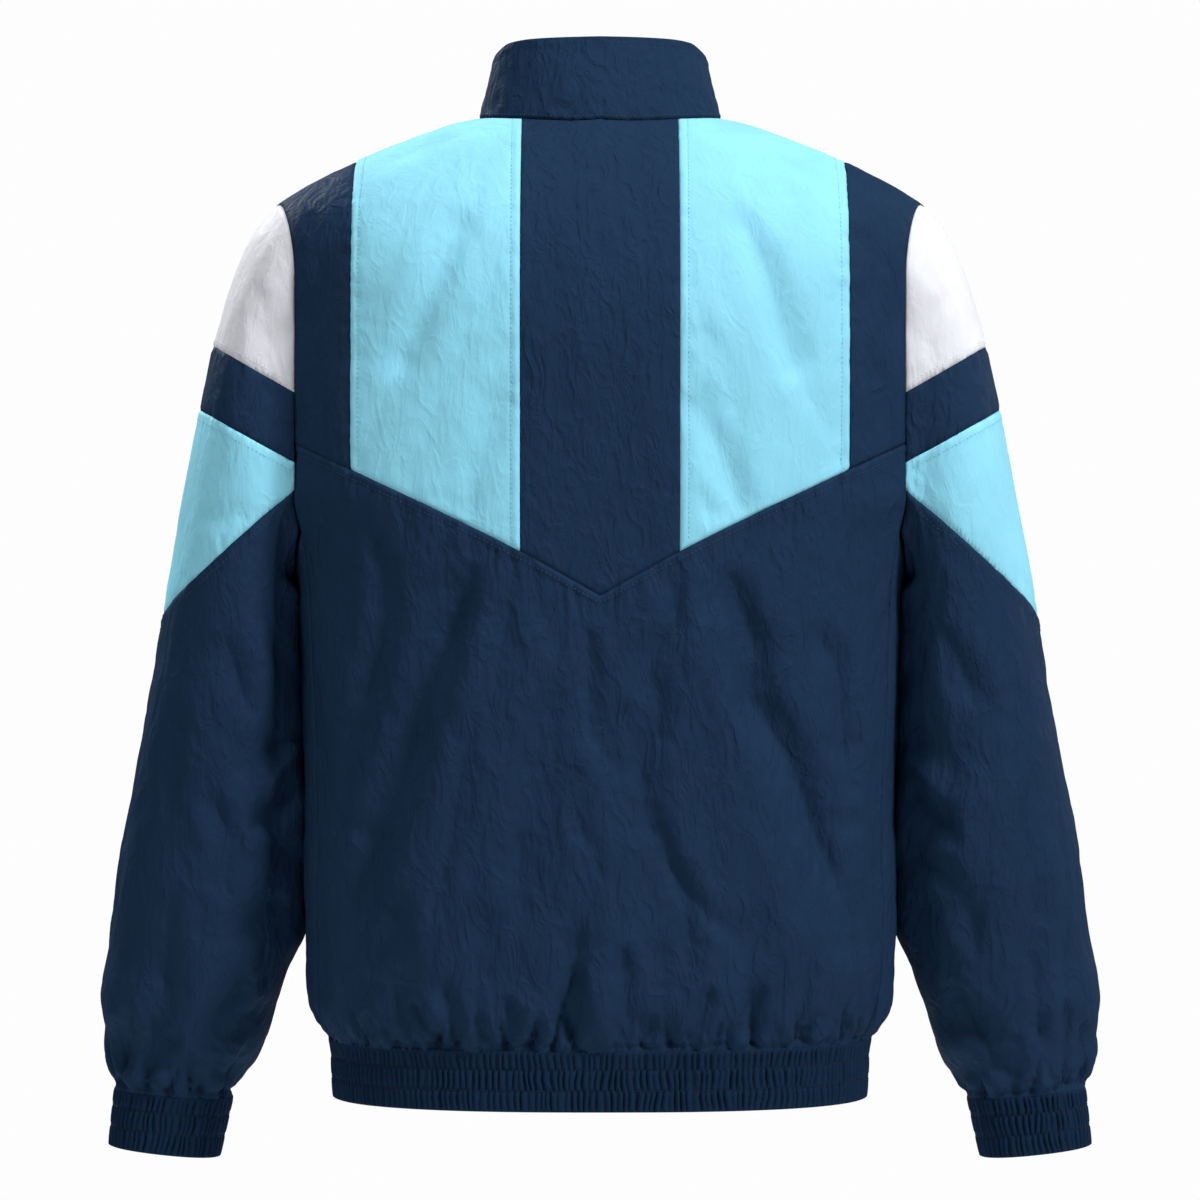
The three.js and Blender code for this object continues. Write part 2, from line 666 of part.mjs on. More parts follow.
// The mean cosine between a point's normal and its faces, which keeps a mitred wall at its thickness
function mitres(triangles, normals) {
  const sums = new Map();
  for (const triangle of triangles) {
    const normal = faceNormal(triangle).normalize();
    for (const point of triangle) {
      const key = keyOf(point);
      const entry = sums.get(key) ?? { total: 0, count: 0 };
      entry.total += normals.get(key).dot(normal);
      entry.count += 1;
      sums.set(key, entry);
    }
  }
  return (key) => Math.max(sums.get(key).total / sums.get(key).count, 0.6);
}

function wall(triangles, thickness, normals) {
  const border = borderEdges(triangles);
  const shifts = borderShifts(border, normals);
  const mitreOf = mitres(triangles, normals);
  const still = new THREE.Vector3();
  const outer = (point) => point.clone().add(shifts.get(keyOf(point)) ?? still);
  const inner = (point) => {
    const key = keyOf(point);
    return outer(point).addScaledVector(normals.get(key), -thickness / mitreOf(key));
  };
  const faces = triangles.map((triangle) => triangle.map(outer));
  const backs = flip(triangles).map((triangle) => triangle.map(inner));
  const rims = border.flatMap(([from, to]) =>
    keyOf(from) < keyOf(to)
      ? [
          [outer(to), outer(from), inner(to)],
          [outer(from), inner(from), inner(to)],
        ]
      : [
          [outer(to), outer(from), inner(from)],
          [outer(to), inner(from), inner(to)],
        ],
  );
  return [...faces, ...backs, ...rims];
}

// The geometry of a closed set of triangles, turned so that its faces point out
function geometryOf(triangles) {
  const volume = triangles.reduce((sum, [a, b, c]) => sum + a.dot(b.clone().cross(c)), 0);
  const facing = volume < 0 ? flip(triangles) : triangles;
  const positions = facing.flatMap((triangle) => triangle.flatMap((point) => point.toArray()));
  const geometry = new THREE.BufferGeometry();
  geometry.setAttribute("position", new THREE.Float32BufferAttribute(positions, 3));
  const merged = mergeVertices(geometry, 1e-3);
  merged.computeVertexNormals();
  return merged;
}

function solidOf(geometry) {
  const bare = geometry.clone();
  bare.deleteAttribute("normal");
  bare.deleteAttribute("uv");
  const merged = mergeVertices(bare, 1e-3);
  const triVerts = merged.index
    ? new Uint32Array(merged.index.array)
    : Uint32Array.from({ length: merged.attributes.position.count }, (_, i) => i);
  const vertProperties = new Float32Array(merged.attributes.position.array);
  return new wasm.Manifold(new wasm.Mesh({ numProp: 3, vertProperties, triVerts }));
}

function geometryOfSolid(solid) {
  const mesh = solid.getMesh();
  const geometry = new THREE.BufferGeometry();
  geometry.setAttribute("position", new THREE.BufferAttribute(mesh.vertProperties, 3));
  geometry.setIndex(new THREE.BufferAttribute(mesh.triVerts, 1));
  geometry.computeVertexNormals();
  return geometry;
}

// Shirred bands: gathered outside, plain inside

// A ring of a band: a squared oval in the plane of its two half axes
function bandRing(frame, angles, swell, wave) {
  return angles.map((angle, i) => {
    const out = swell + (i % 2 ? wave : -wave);
    const a = signedPower(Math.cos(angle), frame.powerA);
    const b = signedPower(Math.sin(angle), frame.powerB);
    return frame.centre
      .clone()
      .addScaledVector(frame.along, a * (frame.half + out))
      .addScaledVector(frame.across, b * (frame.depth + out));
  });
}

function evenAngles(frame, from, to, count) {
  const fine = spread(from, to, count * 6);
  const points = bandRing(frame, fine, 0, 0);
  const lengths = [0];
  for (let i = 1; i < points.length; i += 1) {
    lengths.push(lengths[i - 1] + points[i].distanceTo(points[i - 1]));
  }
  const angles = [];
  let index = 0;
  for (const goal of spread(0, lengths.at(-1), count)) {
    while (index < fine.length - 2 && lengths[index + 1] < goal) index += 1;
    const part = (goal - lengths[index]) / (lengths[index + 1] - lengths[index]);
    angles.push(lerp(fine[index], fine[index + 1], clamp(part, 0, 1)));
  }
  return angles;
}

// Joins two lines of points that run side by side, whatever the number of points in each.
function strip(one, two) {
  const triangles = [];
  let i = 0;
  let j = 0;
  while (i < one.length - 1 || j < two.length - 1) {
    const oneNext = (i + 1) / (one.length - 1);
    const twoNext = (j + 1) / (two.length - 1);
    if (j === two.length - 1 || (i < one.length - 1 && oneNext <= twoNext)) {
      triangles.push([one[i], one[i + 1], two[j]]);
      i += 1;
    } else {
      triangles.push([one[i], two[j + 1], two[j]]);
      j += 1;
    }
  }
  return triangles;
}

function bandWall(frameAt, angles, closed) {
  const coarse = angles.filter((_, i) => i % INNER_STEP === 0);
  const outerRows = BAND_ROWS.map(({ part, swell, wave }) => bandRing(frameAt(part), angles, swell, wave));
  const innerRows = [0, 1].map((part) => bandRing(frameAt(part), coarse, -BAND_WALL, 0));
  const ringEnd = (row) => (closed ? [...row, row[0]] : row);
  const shut = (rows) => rows.map((row) => (closed ? ringEnd(row.slice(0, -1)) : row));
  const outer = shut(outerRows);
  const inner = shut(innerRows);
  const triangles = [
    ...gridTriangles(outer, false),
    ...flip(gridTriangles(inner, false)),
    ...strip(outer[0], inner[0]),
    ...flip(strip(outer.at(-1), inner.at(-1))),
  ];
  if (!closed) {
    const sideOf = (rows, at) => rows.map((row) => row.at(at));
    triangles.push(...flip(strip(sideOf(outer, 0), sideOf(inner, 0))));
    triangles.push(...strip(sideOf(outer, -1), sideOf(inner, -1)));
  }
  return triangles;
}

function hemFrame(part) {
  const z = lerp(HEM_TOP - SEAM_GAP / 2, HEM_BOTTOM, part);
  return {
    centre: new THREE.Vector3(0, 0, z),
    along: new THREE.Vector3(0, 1, 0),
    across: new THREE.Vector3(1, 0, 0),
    half: readTable(BODY_RINGS, "z", "depth", z),
    depth: readTable(BODY_RINGS, "z", "width", z),
    powerA: 2 / RING_POWER_Y,
    powerB: 2 / RING_POWER_X,
  };
}

function cuffFrame(part) {
  const row = {};
  for (const name of Object.keys(CUFF_TOP)) row[name] = lerp(CUFF_TOP[name], CUFF_BOTTOM[name], part);
  const frame = sectionFrame(row);
  frame.centre.addScaledVector(new THREE.Vector3(0, 0, -SEAM_GAP), 1 - part);
  return {
    ...frame,
    across: new THREE.Vector3(0, 1, 0),
    powerA: 2 / SLEEVE_POWER,
    powerB: 2 / SLEEVE_POWER,
  };
}

// Building the cloth

const clothPanels = [
  { name: "back_centre", colour: "navy", wall: CLOTH_WALL, faces: bodyPanel(-3, 3, 0, CHEVRON_ROW) },
  { name: "back_lower", colour: "navy", wall: CLOTH_WALL, faces: bodyPanel(-13, 13, CHEVRON_ROW, LAST_ROW) },
  { name: "collar", colour: "navy", wall: COLLAR_WALL, faces: flip(gridTriangles(collarRows(), false)) },
];
const SIDES = [
  { name: "left", sign: 1 },
  { name: "right", sign: -1 },
];
const leftSleeve = gridTriangles(sleeveRows(), true);
for (const { name, sign } of SIDES) {
  const panel = (from, to, lastRow) =>
    sign > 0 ? bodyPanel(from, to, 0, lastRow) : bodyPanel(-to, -from, 0, lastRow);
  clothPanels.push(
    {
      name: `back_stripe_${name}`,
      colour: "lightBlue",
      wall: CLOTH_WALL,
      faces: panel(STRIPE_START, STRIPE_END, CHEVRON_ROW),
    },
    {
      name: `back_side_${name}`,
      colour: "navy",
      wall: CLOTH_WALL,
      faces: panel(STRIPE_END, ARMHOLE_BACK, CHEVRON_ROW),
    },
    {
      name: `front_${name}`,
      colour: "navy",
      wall: CLOTH_WALL,
      faces: panel(SIDE_SEAM, ZIP_COLUMN, LAST_ROW),
    },
    {
      name: `sleeve_${name}`,
      colour: "navy",
      wall: CLOTH_WALL,
      faces: sign > 0 ? leftSleeve : mirror(leftSleeve),
      sign,
    },
  );
}
const skinNormals = averageNormals(clothPanels.flatMap((panel) => panel.faces));

// A region of a sleeve between two seams, as a block that runs front to back
function sleeveBlock(upper, lower, sign) {
  const half = SEAM_GAP / 2;
  const top = upper.map(({ x, z }) => new THREE.Vector2(sign * x, z - half));
  const bottom = lower.map(({ x, z }) => new THREE.Vector2(sign * x, z + half));
  const shape = new THREE.Shape([...top, ...bottom.reverse()]);
  const geometry = new THREE.ExtrudeGeometry(shape, { depth: 2 * CUT_HALF_DEPTH, bevelEnabled: false });
  geometry.rotateX(QUARTER_TURN);
  geometry.translate(0, CUT_HALF_DEPTH, 0);
  return solidOf(geometry);
}

const level = (z) => [
  { x: CAP_SEAM[0].x, z },
  { x: CAP_SEAM[1].x, z },
];
const SLEEVE_PIECES = [
  { name: "cap", colour: "white", upper: level(CUT_TOP), lower: CAP_SEAM },
  { name: "band", colour: "navy", upper: CAP_SEAM, lower: BAND_SEAM },
  { name: "wedge", colour: "lightBlue", upper: BAND_SEAM, lower: WEDGE_SEAM },
  { name: "lower", colour: "navy", upper: WEDGE_SEAM, lower: level(CUT_BOTTOM) },
];

for (const panel of clothPanels) {
  const geometry = geometryOf(wall(panel.faces, panel.wall, skinNormals));
  if (!panel.sign) {
    addMesh(panel.name, geometry, panel.colour);
    continue;
  }
  const sleeve = solidOf(geometry);
  for (const { name, colour, upper, lower } of SLEEVE_PIECES) {
    const cut = sleeve.intersect(sleeveBlock(upper, lower, panel.sign));
    const piece = cut.decompose().reduce((most, body) => (body.volume() > most.volume() ? body : most));
    addMesh(panel.name.replace("sleeve_", `sleeve_${name}_`), geometryOfSolid(piece), colour);
  }
}

const hemEdge = (ZIP_EDGE + SEAM_GAP / 2) / BODY_RINGS[0].width;
const zipAngle = Math.PI - Math.asin(hemEdge ** (RING_POWER_X / 2));
const hemAngles = evenAngles(hemFrame(0.5), -zipAngle, zipAngle, 2 * HEM_GATHERS);
addMesh("hem_band", geometryOf(bandWall(hemFrame, hemAngles, false)), "band");

const cuffAngles = evenAngles(cuffFrame(0.5), 0, 2 * Math.PI, 2 * CUFF_GATHERS);
const leftCuff = bandWall(cuffFrame, cuffAngles, true);
addMesh("cuff_left", geometryOf(leftCuff), "band");
addMesh("cuff_right", geometryOf(mirror(leftCuff)), "band");

// Zip

// The line of the centre front from the hem to the collar, as y and z
function frontLine() {
  const line = [
    { y: -readTable(BODY_RINGS, "z", "depth", HEM_BOTTOM), z: HEM_BOTTOM },
    { y: -readTable(BODY_RINGS, "z", "depth", HEM_BOTTOM + BOX_HEIGHT), z: HEM_BOTTOM + BOX_HEIGHT },
  ];
  for (let row = LAST_ROW; row >= 0; row -= 1) line.push(bodyAt(ZIP_COLUMN, row));
  line.push(collarPoint(bodyAt(ZIP_COLUMN, 0), 1));
  return line.map(({ y, z }) => new THREE.Vector2(y, z));
}

function lineBetween(line, fromZ, toZ) {
  const pointAt = (z) => {
    const index = clamp(line.findIndex((point) => point.y >= z), 1, line.length - 1);
    const from = line[index - 1];
    const to = line[index];
    return from.clone().lerp(to, (z - from.y) / (to.y - from.y));
  };
  return [pointAt(fromZ), ...line.filter((p) => p.y > fromZ + 1 && p.y < toZ - 1), pointAt(toZ)];
}

// A flat strip that follows the line, between two depths out from it
function sweptStrip(line, fromX, toX, back, face) {
  const outward = (from, to) => new THREE.Vector2(-(to.y - from.y), to.x - from.x).normalize();
  const rows = line.map((point, i) => {
    const one = outward(line[Math.max(i - 1, 0)], line[Math.max(i, 1)]);
    const two = outward(line[Math.min(i, line.length - 2)], line[Math.min(i + 1, line.length - 1)]);
    const out = one.clone().add(two).multiplyScalar(1 / (1 + one.dot(two)));
    const at = (x, depth) => new THREE.Vector3(x, point.x + out.x * depth, point.y + out.y * depth);
    return [at(fromX, face), at(toX, face), at(toX, back), at(fromX, back)];
  });
  const capOf = ([a, b, c, d]) => [
    [a, b, c],
    [a, c, d],
  ];
  return [...gridTriangles(rows, true), ...capOf(rows[0]), ...flip(capOf(rows.at(-1)))];
}

const zipLine = frontLine();
const collarFoot = zipLine.at(-2);
const collarTop = zipLine.at(-1);
const collarUp = collarTop.clone().sub(collarFoot).normalize();
const sliderCentre = collarTop.clone().addScaledVector(collarUp, -SLIDER_BELOW_EDGE);
const zipFoot = HEM_BOTTOM + BOX_HEIGHT + SEAM_GAP;
const chainTop = sliderCentre.y + (BRIDGE_FROM - CLEAR) * collarUp.y;

const chainLine = lineBetween(zipLine, zipFoot, chainTop);
const tapeLine = lineBetween(zipLine, zipFoot, collarTop.y - SEAM_GAP);
const chain = sweptStrip(chainLine, -CHAIN_HALF, CHAIN_HALF, CHAIN_BACK, CHAIN_FACE);
addMesh("zip_chain", geometryOf(chain), "teeth");
const leftTape = sweptStrip(tapeLine, TAPE_FROM, TAPE_TO, TAPE_BACK, TAPE_FACE);
addMesh("zip_tape_left", geometryOf(leftTape), "tape");
addMesh("zip_tape_right", geometryOf(mirror(leftTape)), "tape");

function box(halfX, backY, faceY, fromZ, toZ) {
  const geometry = new THREE.BoxGeometry(2 * halfX, faceY - backY, toZ - fromZ);
  return geometry.translate(0, -(faceY + backY) / 2, (fromZ + toZ) / 2);
}

const zipBox = addMesh(
  "zip_box",
  box(TAPE_TO, BOX_BACK, BOX_FACE, HEM_BOTTOM, HEM_BOTTOM + BOX_HEIGHT),
  "metal",
);
zipBox.position.y = zipLine[0].x;

// Slider and pull, built upright about the slider's middle, then leaned with the collar
const slider = new THREE.Group();
slider.position.set(0, sliderCentre.x, sliderCentre.y);
slider.rotation.x = -Math.atan2(collarUp.x, collarUp.y);
root.add(slider);

// An outline in x and z, extruded through y so that faceY is its outer face
function plateGeometry(shape, backY, faceY) {
  const geometry = new THREE.ExtrudeGeometry(shape, {
    depth: faceY - backY,
    bevelEnabled: false,
    curveSegments: 3,
  });
  geometry.rotateX(QUARTER_TURN);
  return geometry.translate(0, -backY, 0);
}

function taperedShape(topHalf, top, footHalf, foot, corner) {
  const shape = new THREE.Shape();
  shape.moveTo(-footHalf + corner, foot);
  shape.lineTo(footHalf - corner, foot);
  shape.quadraticCurveTo(footHalf, foot, footHalf, foot + corner);
  shape.lineTo(topHalf, top - corner);
  shape.quadraticCurveTo(topHalf, top, topHalf - corner, top);
  shape.lineTo(-topHalf + corner, top);
  shape.quadraticCurveTo(-topHalf, top, -topHalf, top - corner);
  shape.lineTo(-footHalf, foot + corner);
  shape.quadraticCurveTo(-footHalf, foot, -footHalf + corner, foot);
  return shape;
}

const plateShape = () =>
  taperedShape(SLIDER_TOP_HALF, SLIDER_LENGTH / 2, SLIDER_FOOT_HALF, -SLIDER_LENGTH / 2, SLIDER_CORNER);
const faceBack = CHAIN_FACE + CLEAR;
const faceTop = faceBack + PLATE;
const backFace = TAPE_BACK - CLEAR;
const crownTop = faceTop + CROWN_HOLE_HEIGHT + CROWN_BAR;
const sink = PLATE / 2;

function sliderBody() {
  const pieces = [
    plateGeometry(plateShape(), faceBack, faceTop),
    plateGeometry(plateShape(), backFace - PLATE, backFace),
    box(BRIDGE_HALF, backFace - sink, faceBack + sink, BRIDGE_FROM, SLIDER_LENGTH / 2 - SLIDER_CORNER),
    box(CROWN_HALF_WIDTH, crownTop - CROWN_BAR, crownTop, -CROWN_HOLE_HALF - CROWN_BAR, CROWN_HOLE_HALF + CROWN_BAR),
  ];
  for (const sign of [-1, 1]) {
    const flange = box(FLANGE / 2, TAPE_FACE + CLEAR, faceBack + sink, -SLIDER_LENGTH / 2 + 1.5, SLIDER_LENGTH / 2 - 1.5);
    pieces.push(flange.translate(sign * (SLIDER_FOOT_HALF - FLANGE / 2), 0, 0));
    const leg = box(CROWN_HALF_WIDTH, faceTop - sink, crownTop, 0, CROWN_BAR);
    pieces.push(leg.translate(0, 0, sign > 0 ? CROWN_HOLE_HALF : -CROWN_HOLE_HALF - CROWN_BAR));
  }
  return pieces.map(solidOf).reduce((joined, piece) => joined.add(piece));
}
addMesh("zip_slider", geometryOfSolid(sliderBody()), "metal", slider);

// The tab's slot lies round the crown, and the bar above the slot is what turns in it.
function pullShape() {
  const shape = taperedShape(PULL_HALF_WIDTH, PULL_BAR_HALF, PULL_FOOT_HALF, -PULL_LENGTH, SLIDER_CORNER / 2);
  const slot = new THREE.Path();
  slot.moveTo(-PULL_SLOT_HALF, -PULL_BAR_HALF);
  slot.lineTo(-PULL_SLOT_HALF, -PULL_SLOT_END);
  slot.lineTo(PULL_SLOT_HALF, -PULL_SLOT_END);
  slot.lineTo(PULL_SLOT_HALF, -PULL_BAR_HALF);
  slot.closePath();
  shape.holes.push(slot);
  return shape;
}
const pull = addMesh("zip_pull", plateGeometry(pullShape(), -PULL_THICK / 2, PULL_THICK / 2), "metal", slider);
pull.position.y = -(faceTop + CROWN_HOLE_HEIGHT / 2);

export default root;
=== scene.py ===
# The looks of a windbreaker jacket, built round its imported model.
# Sizes are millimetres until a mesh is made, which turns them into metres.
# The front faces -Y, the wearer's left is +X, and "back" or "front" is given as facing 1 or -1.
import itertools
import json
import math

import bmesh
import bpy
import numpy as np
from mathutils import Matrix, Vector
from mathutils.kdtree import KDTree


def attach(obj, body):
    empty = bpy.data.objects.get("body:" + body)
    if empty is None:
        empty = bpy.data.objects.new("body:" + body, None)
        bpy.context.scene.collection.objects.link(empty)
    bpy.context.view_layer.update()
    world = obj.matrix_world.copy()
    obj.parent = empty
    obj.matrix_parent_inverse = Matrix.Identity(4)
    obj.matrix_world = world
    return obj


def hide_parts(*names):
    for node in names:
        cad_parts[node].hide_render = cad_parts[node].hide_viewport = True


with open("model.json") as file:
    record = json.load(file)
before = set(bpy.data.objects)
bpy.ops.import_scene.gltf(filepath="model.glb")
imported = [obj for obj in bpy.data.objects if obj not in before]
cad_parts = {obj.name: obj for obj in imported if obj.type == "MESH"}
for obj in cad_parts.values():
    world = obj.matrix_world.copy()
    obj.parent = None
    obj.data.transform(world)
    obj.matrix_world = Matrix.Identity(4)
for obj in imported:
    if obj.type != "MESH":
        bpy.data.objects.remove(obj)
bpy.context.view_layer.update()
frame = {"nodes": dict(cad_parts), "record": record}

MM = 0.001
BODY = "jacket"

# Camera, at the photograph's angle: it looks level along -Y at the middle of the back
CAMERA_DISTANCE = 3.3
CAMERA_HEIGHT = -0.348
CAMERA_LENS = 136.6
SENSOR = 36.0
FLOOR_HEIGHT = -1.45
FLOOR_RADIUS = 3.0
FLOOR_SIDES = 96
FLOOR_COLOUR = (0.85, 0.85, 0.86)
BACKDROP_COLOUR = (0.985, 0.985, 0.985, 1)
WORLD_COLOUR = (0.98, 0.985, 1.0, 1)
WORLD_STRENGTH = 0.1
# Round lights aimed at the middle of the jacket: name, place, size in metres, watts
LIGHT_TARGET = (0, 0, -0.35)
LIGHTS = [
    ("key", (-2.3, 1.7, 1.7), 0.7, 112),
    ("fill", (2.4, 2.3, 0.7), 1.4, 22),
    ("top", (0.3, 0.8, 2.7), 1.0, 52),
    ("front", (1.9, -2.3, 1.6), 0.8, 105),
    ("front_fill", (-2.4, -1.9, 0.5), 1.4, 18),
]

# Cloth
WALL = 0.9
COLLAR_WALL = 2.4
BAND_WALL = 2.2

# Body: rings by height, the shoulder ridge, the neck and the V seam, as in the solids
CHEST_HALF_WIDTH = 240.0
RING_POWER_X = 2.6
RING_POWER_Y = 2.2
HEM_TOP = -665.0
HEM_BOTTOM = -706.0
RING_Z = [-706, -689, -674, -666, -658, -645, -616, -543, -488, -428, -370, -337, -300, -270, -100]
RING_WIDTH = [193, 194, 194.5, 196, 201, 208, 213, 214, 213.5, 216, 218, 221, 228, 240, 240]
RING_DEPTH = [117, 118, 118, 119, 123, 127, 131, 131, 130, 130, 130, 130, 130, 130, 130]
RIDGE_X = [0, 44, 88, 105, 137, 168, 203, 228, 235]
RIDGE_Z = [17, 10, 0, -3.6, -14.5, -27, -43.5, -58, -63]
DROP_AT_NECK = 200.0
DROP_AT_SHOULDER = 65.0
DROP_POWER = 1.2
ROUND_BACK = 2.0
ROUND_CHEST = 1.4
ROUND_CHEST_END = 160.0
FAN_POWER = 0.77
NECK_HALF_WIDTH = 88.0
NECK_BACK = 60.0
NECK_FRONT = 75.0
STRIPE_INNER = 56.0
STRIPE_OUTER = 176.0
ARMHOLE_X = 217.0
SHOULDER_TIP = 235.0
CHEVRON_X = [0, 56, 176, 217]
CHEVRON_Z = [-345, -314, -256, -237]
CHEVRON_SIDE = -237.0
SIDE_ANGLES = [66, 76, 90, 104, 114]
ZIP_EDGE = 5.35
YOKE_ROWS = 5
CHEVRON_ROW = 8
SIDE_ROWS = [-237, -270, -300, -325, -337, -378, -424, -472, -522, -570, -610, -642, -665]
LAST_ROW = 20
STRIPE_START = 3
NECK_COLUMN = 6
STRIPE_END = 10
ARMHOLE_BACK = 12
SIDE_SEAM = 13
UNDERARM = 15
ARMHOLE_FRONT = 18
FRONT_NECK_COLUMN = 24
ZIP_COLUMN = 28
NECK_RUNS = [(0, NECK_COLUMN), (FRONT_NECK_COLUMN, ZIP_COLUMN)]

# Large folds of the body, as in the solids: facing, x, z, to x, to z, width, depth
BODY_FOLDS = [
    (1, -93, -350, -173, -590, 15, 5),
    (1, -66, -375, -142, -600, 17, -3.5),
    (1, 104, -345, 168, -560, 15, 4.5),
    (1, 76, -380, 130, -600, 17, -3),
    (1, -20, -440, -48, -620, 17, 3.5),
    (1, 34, -430, 62, -610, 17, 3.5),
    (1, 2, -460, 6, -630, 15, -2.5),
    (1, -101, -90, -137, -178, 15, 4.5),
    (1, -72, -214, -95, -280, 14, 3.5),
    (1, 101, -90, 137, -178, 15, 4.5),
    (1, 72, -214, 95, -280, 14, 3.5),
    (1, 186, -95, 205, -150, 13, 3.5),
    (1, -186, -95, -205, -150, 13, 3.5),
    (-1, 95, -90, 150, -240, 18, 5),
    (-1, -100, -100, -146, -230, 18, 5),
    (-1, 70, -300, 120, -560, 18, 4.5),
    (-1, -62, -320, -128, -590, 18, 4.5),
    (-1, 150, -360, 176, -600, 16, 4),
    (-1, -158, -380, -180, -580, 16, 4),
    (1, -150, -603, -164, -653, 12, 4),
    (1, -98, -581, -108, -653, 12, 4),
    (1, -40, -599, -32, -653, 12, 3.5),
    (1, 18, -591, 22, -653, 12, 4),
    (1, 78, -577, 90, -653, 12, 4),
    (1, 136, -601, 146, -653, 12, 4),
    (-1, -138, -595, -150, -653, 12, 4),
    (-1, -80, -581, -88, -653, 12, 4),
    (-1, 84, -589, 93, -653, 12, 4),
    (-1, 142, -597, 154, -653, 12, 4),
]
FOLD_FREE_FROM = 12.0
FOLD_FREE_TO = 45.0
FOLD_FADE_AT_HEM = 18.0

# Collar, as in the solids
COLLAR_TURN = [0, 40, 60, 75, 90, 120, 150, 180]
COLLAR_TOP = [54, 53.5, 52, 47.5, 43, 30, 14, 4]
COLLAR_LEAN = 0.25
COLLAR_FOOT_STITCH = 3.0
COLLAR_OUTER_ROWS = 24
COLLAR_INNER_ROWS = 12
COLLAR_FOLD_ROWS = 9
COLLAR_COLUMN_STEP = 0.1
COLLAR_BROAD_SIZE = (26.0, 26.0, 30.0)
COLLAR_BROAD_RISE = 0.8
COLLAR_CRISP_SIZE = (22, 22, 14)
COLLAR_CRISP_RISE = 0.5

# Sleeve sections from armhole to cuff, as in the solids
SLEEVE_OUT_X = [235, 252, 268, 280, 290, 299, 309, 319, 329, 340, 351, 359, 364.5, 364.5, 361.5, 354.7]
SLEEVE_OUT_Z = [-63, -84, -122, -165, -210, -256, -309, -367, -428, -487, -543, -597, -640, -668, -690, -704]
SLEEVE_IN_X = [221, 226, 225, 224, 223, 222, 221, 219.5, 218.5, 217.5, 219.5, 228, 238.5, 248.5, 258, 268.6]
SLEEVE_IN_Z = [-337, -348, -362, -380, -402, -428, -458, -492, -528, -562, -592, -621, -653, -679, -697, -711]
SLEEVE_DEPTH = [66, 68, 72, 75, 76, 77, 77, 76, 74.5, 72, 69, 65, 60, 53, 44, 36]
SLEEVE_MIDDLE = [0, -1, -2, -4, -6, -8, -11, -14, -16, -19, -22, -25, -27.5, -29, -30, -30]
SLEEVE_POWER = 2.2
SLEEVE_ROUND_BY = 3.0
SLEEVE_FOLD_WIDTH = 0.55
CUFF_AT = 15.0

# Where a sleeve rests against the body: how far it presses in, the gaps that close fully and not at all,
# the heights between which it does, and the fades beyond them
REST_PRESS = 0.8
REST_FULL = 7.0
REST_NONE = 22.0
REST_HEAD = -343.0
REST_FOOT = -570.0
REST_HEAD_FADE = 14.0
REST_FOOT_FADE = 40.0

# Large folds of a sleeve, as in the solids: station, degrees round it, reach, slant, depth
SLEEVE_FOLDS = [
    (4.6, 150, 38, 0.8, 3.5),
    (6.4, 145, 36, -0.8, 4.5),
    (8.2, 140, 40, 0.9, 4.5),
    (9.8, 130, 42, -0.7, 4),
    (11.2, 60, 55, 0.5, 4),
    (12.2, 110, 60, -0.4, 5),
    (13.2, 50, 50, 0.3, 5),
    (13.6, 140, 40, 0.3, 4),
    (6, 235, 40, 0.8, 4),
    (8, 230, 42, -0.8, 4.5),
    (11.6, 270, 60, 0.5, 4.5),
    (13, 290, 55, -0.4, 5),
]

# Seams across a sleeve, seen from the back: two points of each straight run
CAP_SEAM = ((208, -205.7), (400, -96.6))
BAND_SEAM = ((208, -255.3), (400, -150.6))
WEDGE_UPPER = ((208, -261.9), (308, -348))
WEDGE_LOWER = ((308, -348), (400, -454))
STITCHED_SIDE = dict(cap=1, band=-1, wedge=-1)
SEAM_SNAP = 0.05

# Shirred bands
CUFF_TOP = dict(out_x=354.7, out_z=-704, in_x=268.6, in_z=-711, depth=36, middle=-30)
CUFF_BOTTOM = dict(out_x=359, out_z=-745, in_x=278, in_z=-754, depth=34, middle=-31)
HEM_RIBS = 224
CUFF_RIBS = 58
STITCH_PARTS = (0.28, 0.645)
RIB_HEIGHT = 2.3
RIB_VALLEY = 0.19
RIB_COLUMNS = 8
# Between the gathers the cloth stands out, with a puff in each channel, and it is sewn in at the stitches
RIB_STAND = 0.45
RIB_PUFF = 0.3
RIB_SEWN = 0.7
RIB_SEWN_PART = 0.03
RIB_UNEVEN = 0.45
BAND_ROWS = 30
FULL_TURN = (0, 2 * math.pi)
# The top edge of a band tucks under the cloth above it: part of its height, and how far in
TUCK = 0.05
TUCK_IN = 1.2
SHIRRED_GAP = 0.15
CUFF_GAP = 0.3
# The lower lip of a band: how far in and how far down
LIP_IN = 0.9
LIP_DROP = 0.5
# Gathers over the bands: how many go round, depth, how much shorter than the tall ones, seed
HEM_GATHERS = [(50, 7.5, 1.0, 3), (140, 2.6, 2.2, 4)]
CUFF_GATHERS = [(15, 8.0, 1.0, 5), (32, 3.0, 2.2, 9)]
CUFF_ROUND = 260.0
ZIP_WIDTH = 11.0
WRIST_TOP = -600.0

# Zip: the sewn margin of a tape, from x to x, and its depths
MARGIN_FROM = 4.9
MARGIN_TO = 11.0
MARGIN_FACE = -1.3
MARGIN_BACK = -1.8

# Zip teeth, above the box at the foot
BOX_HEIGHT = 9.0
CHAIN_START = 1.0
CHAIN_HALF = 2.9
CHAIN_END = 6.0
TOOTH_PITCH = 3.0
TOOTH_BACK = -0.1
TOOTH_FACE = 1.3
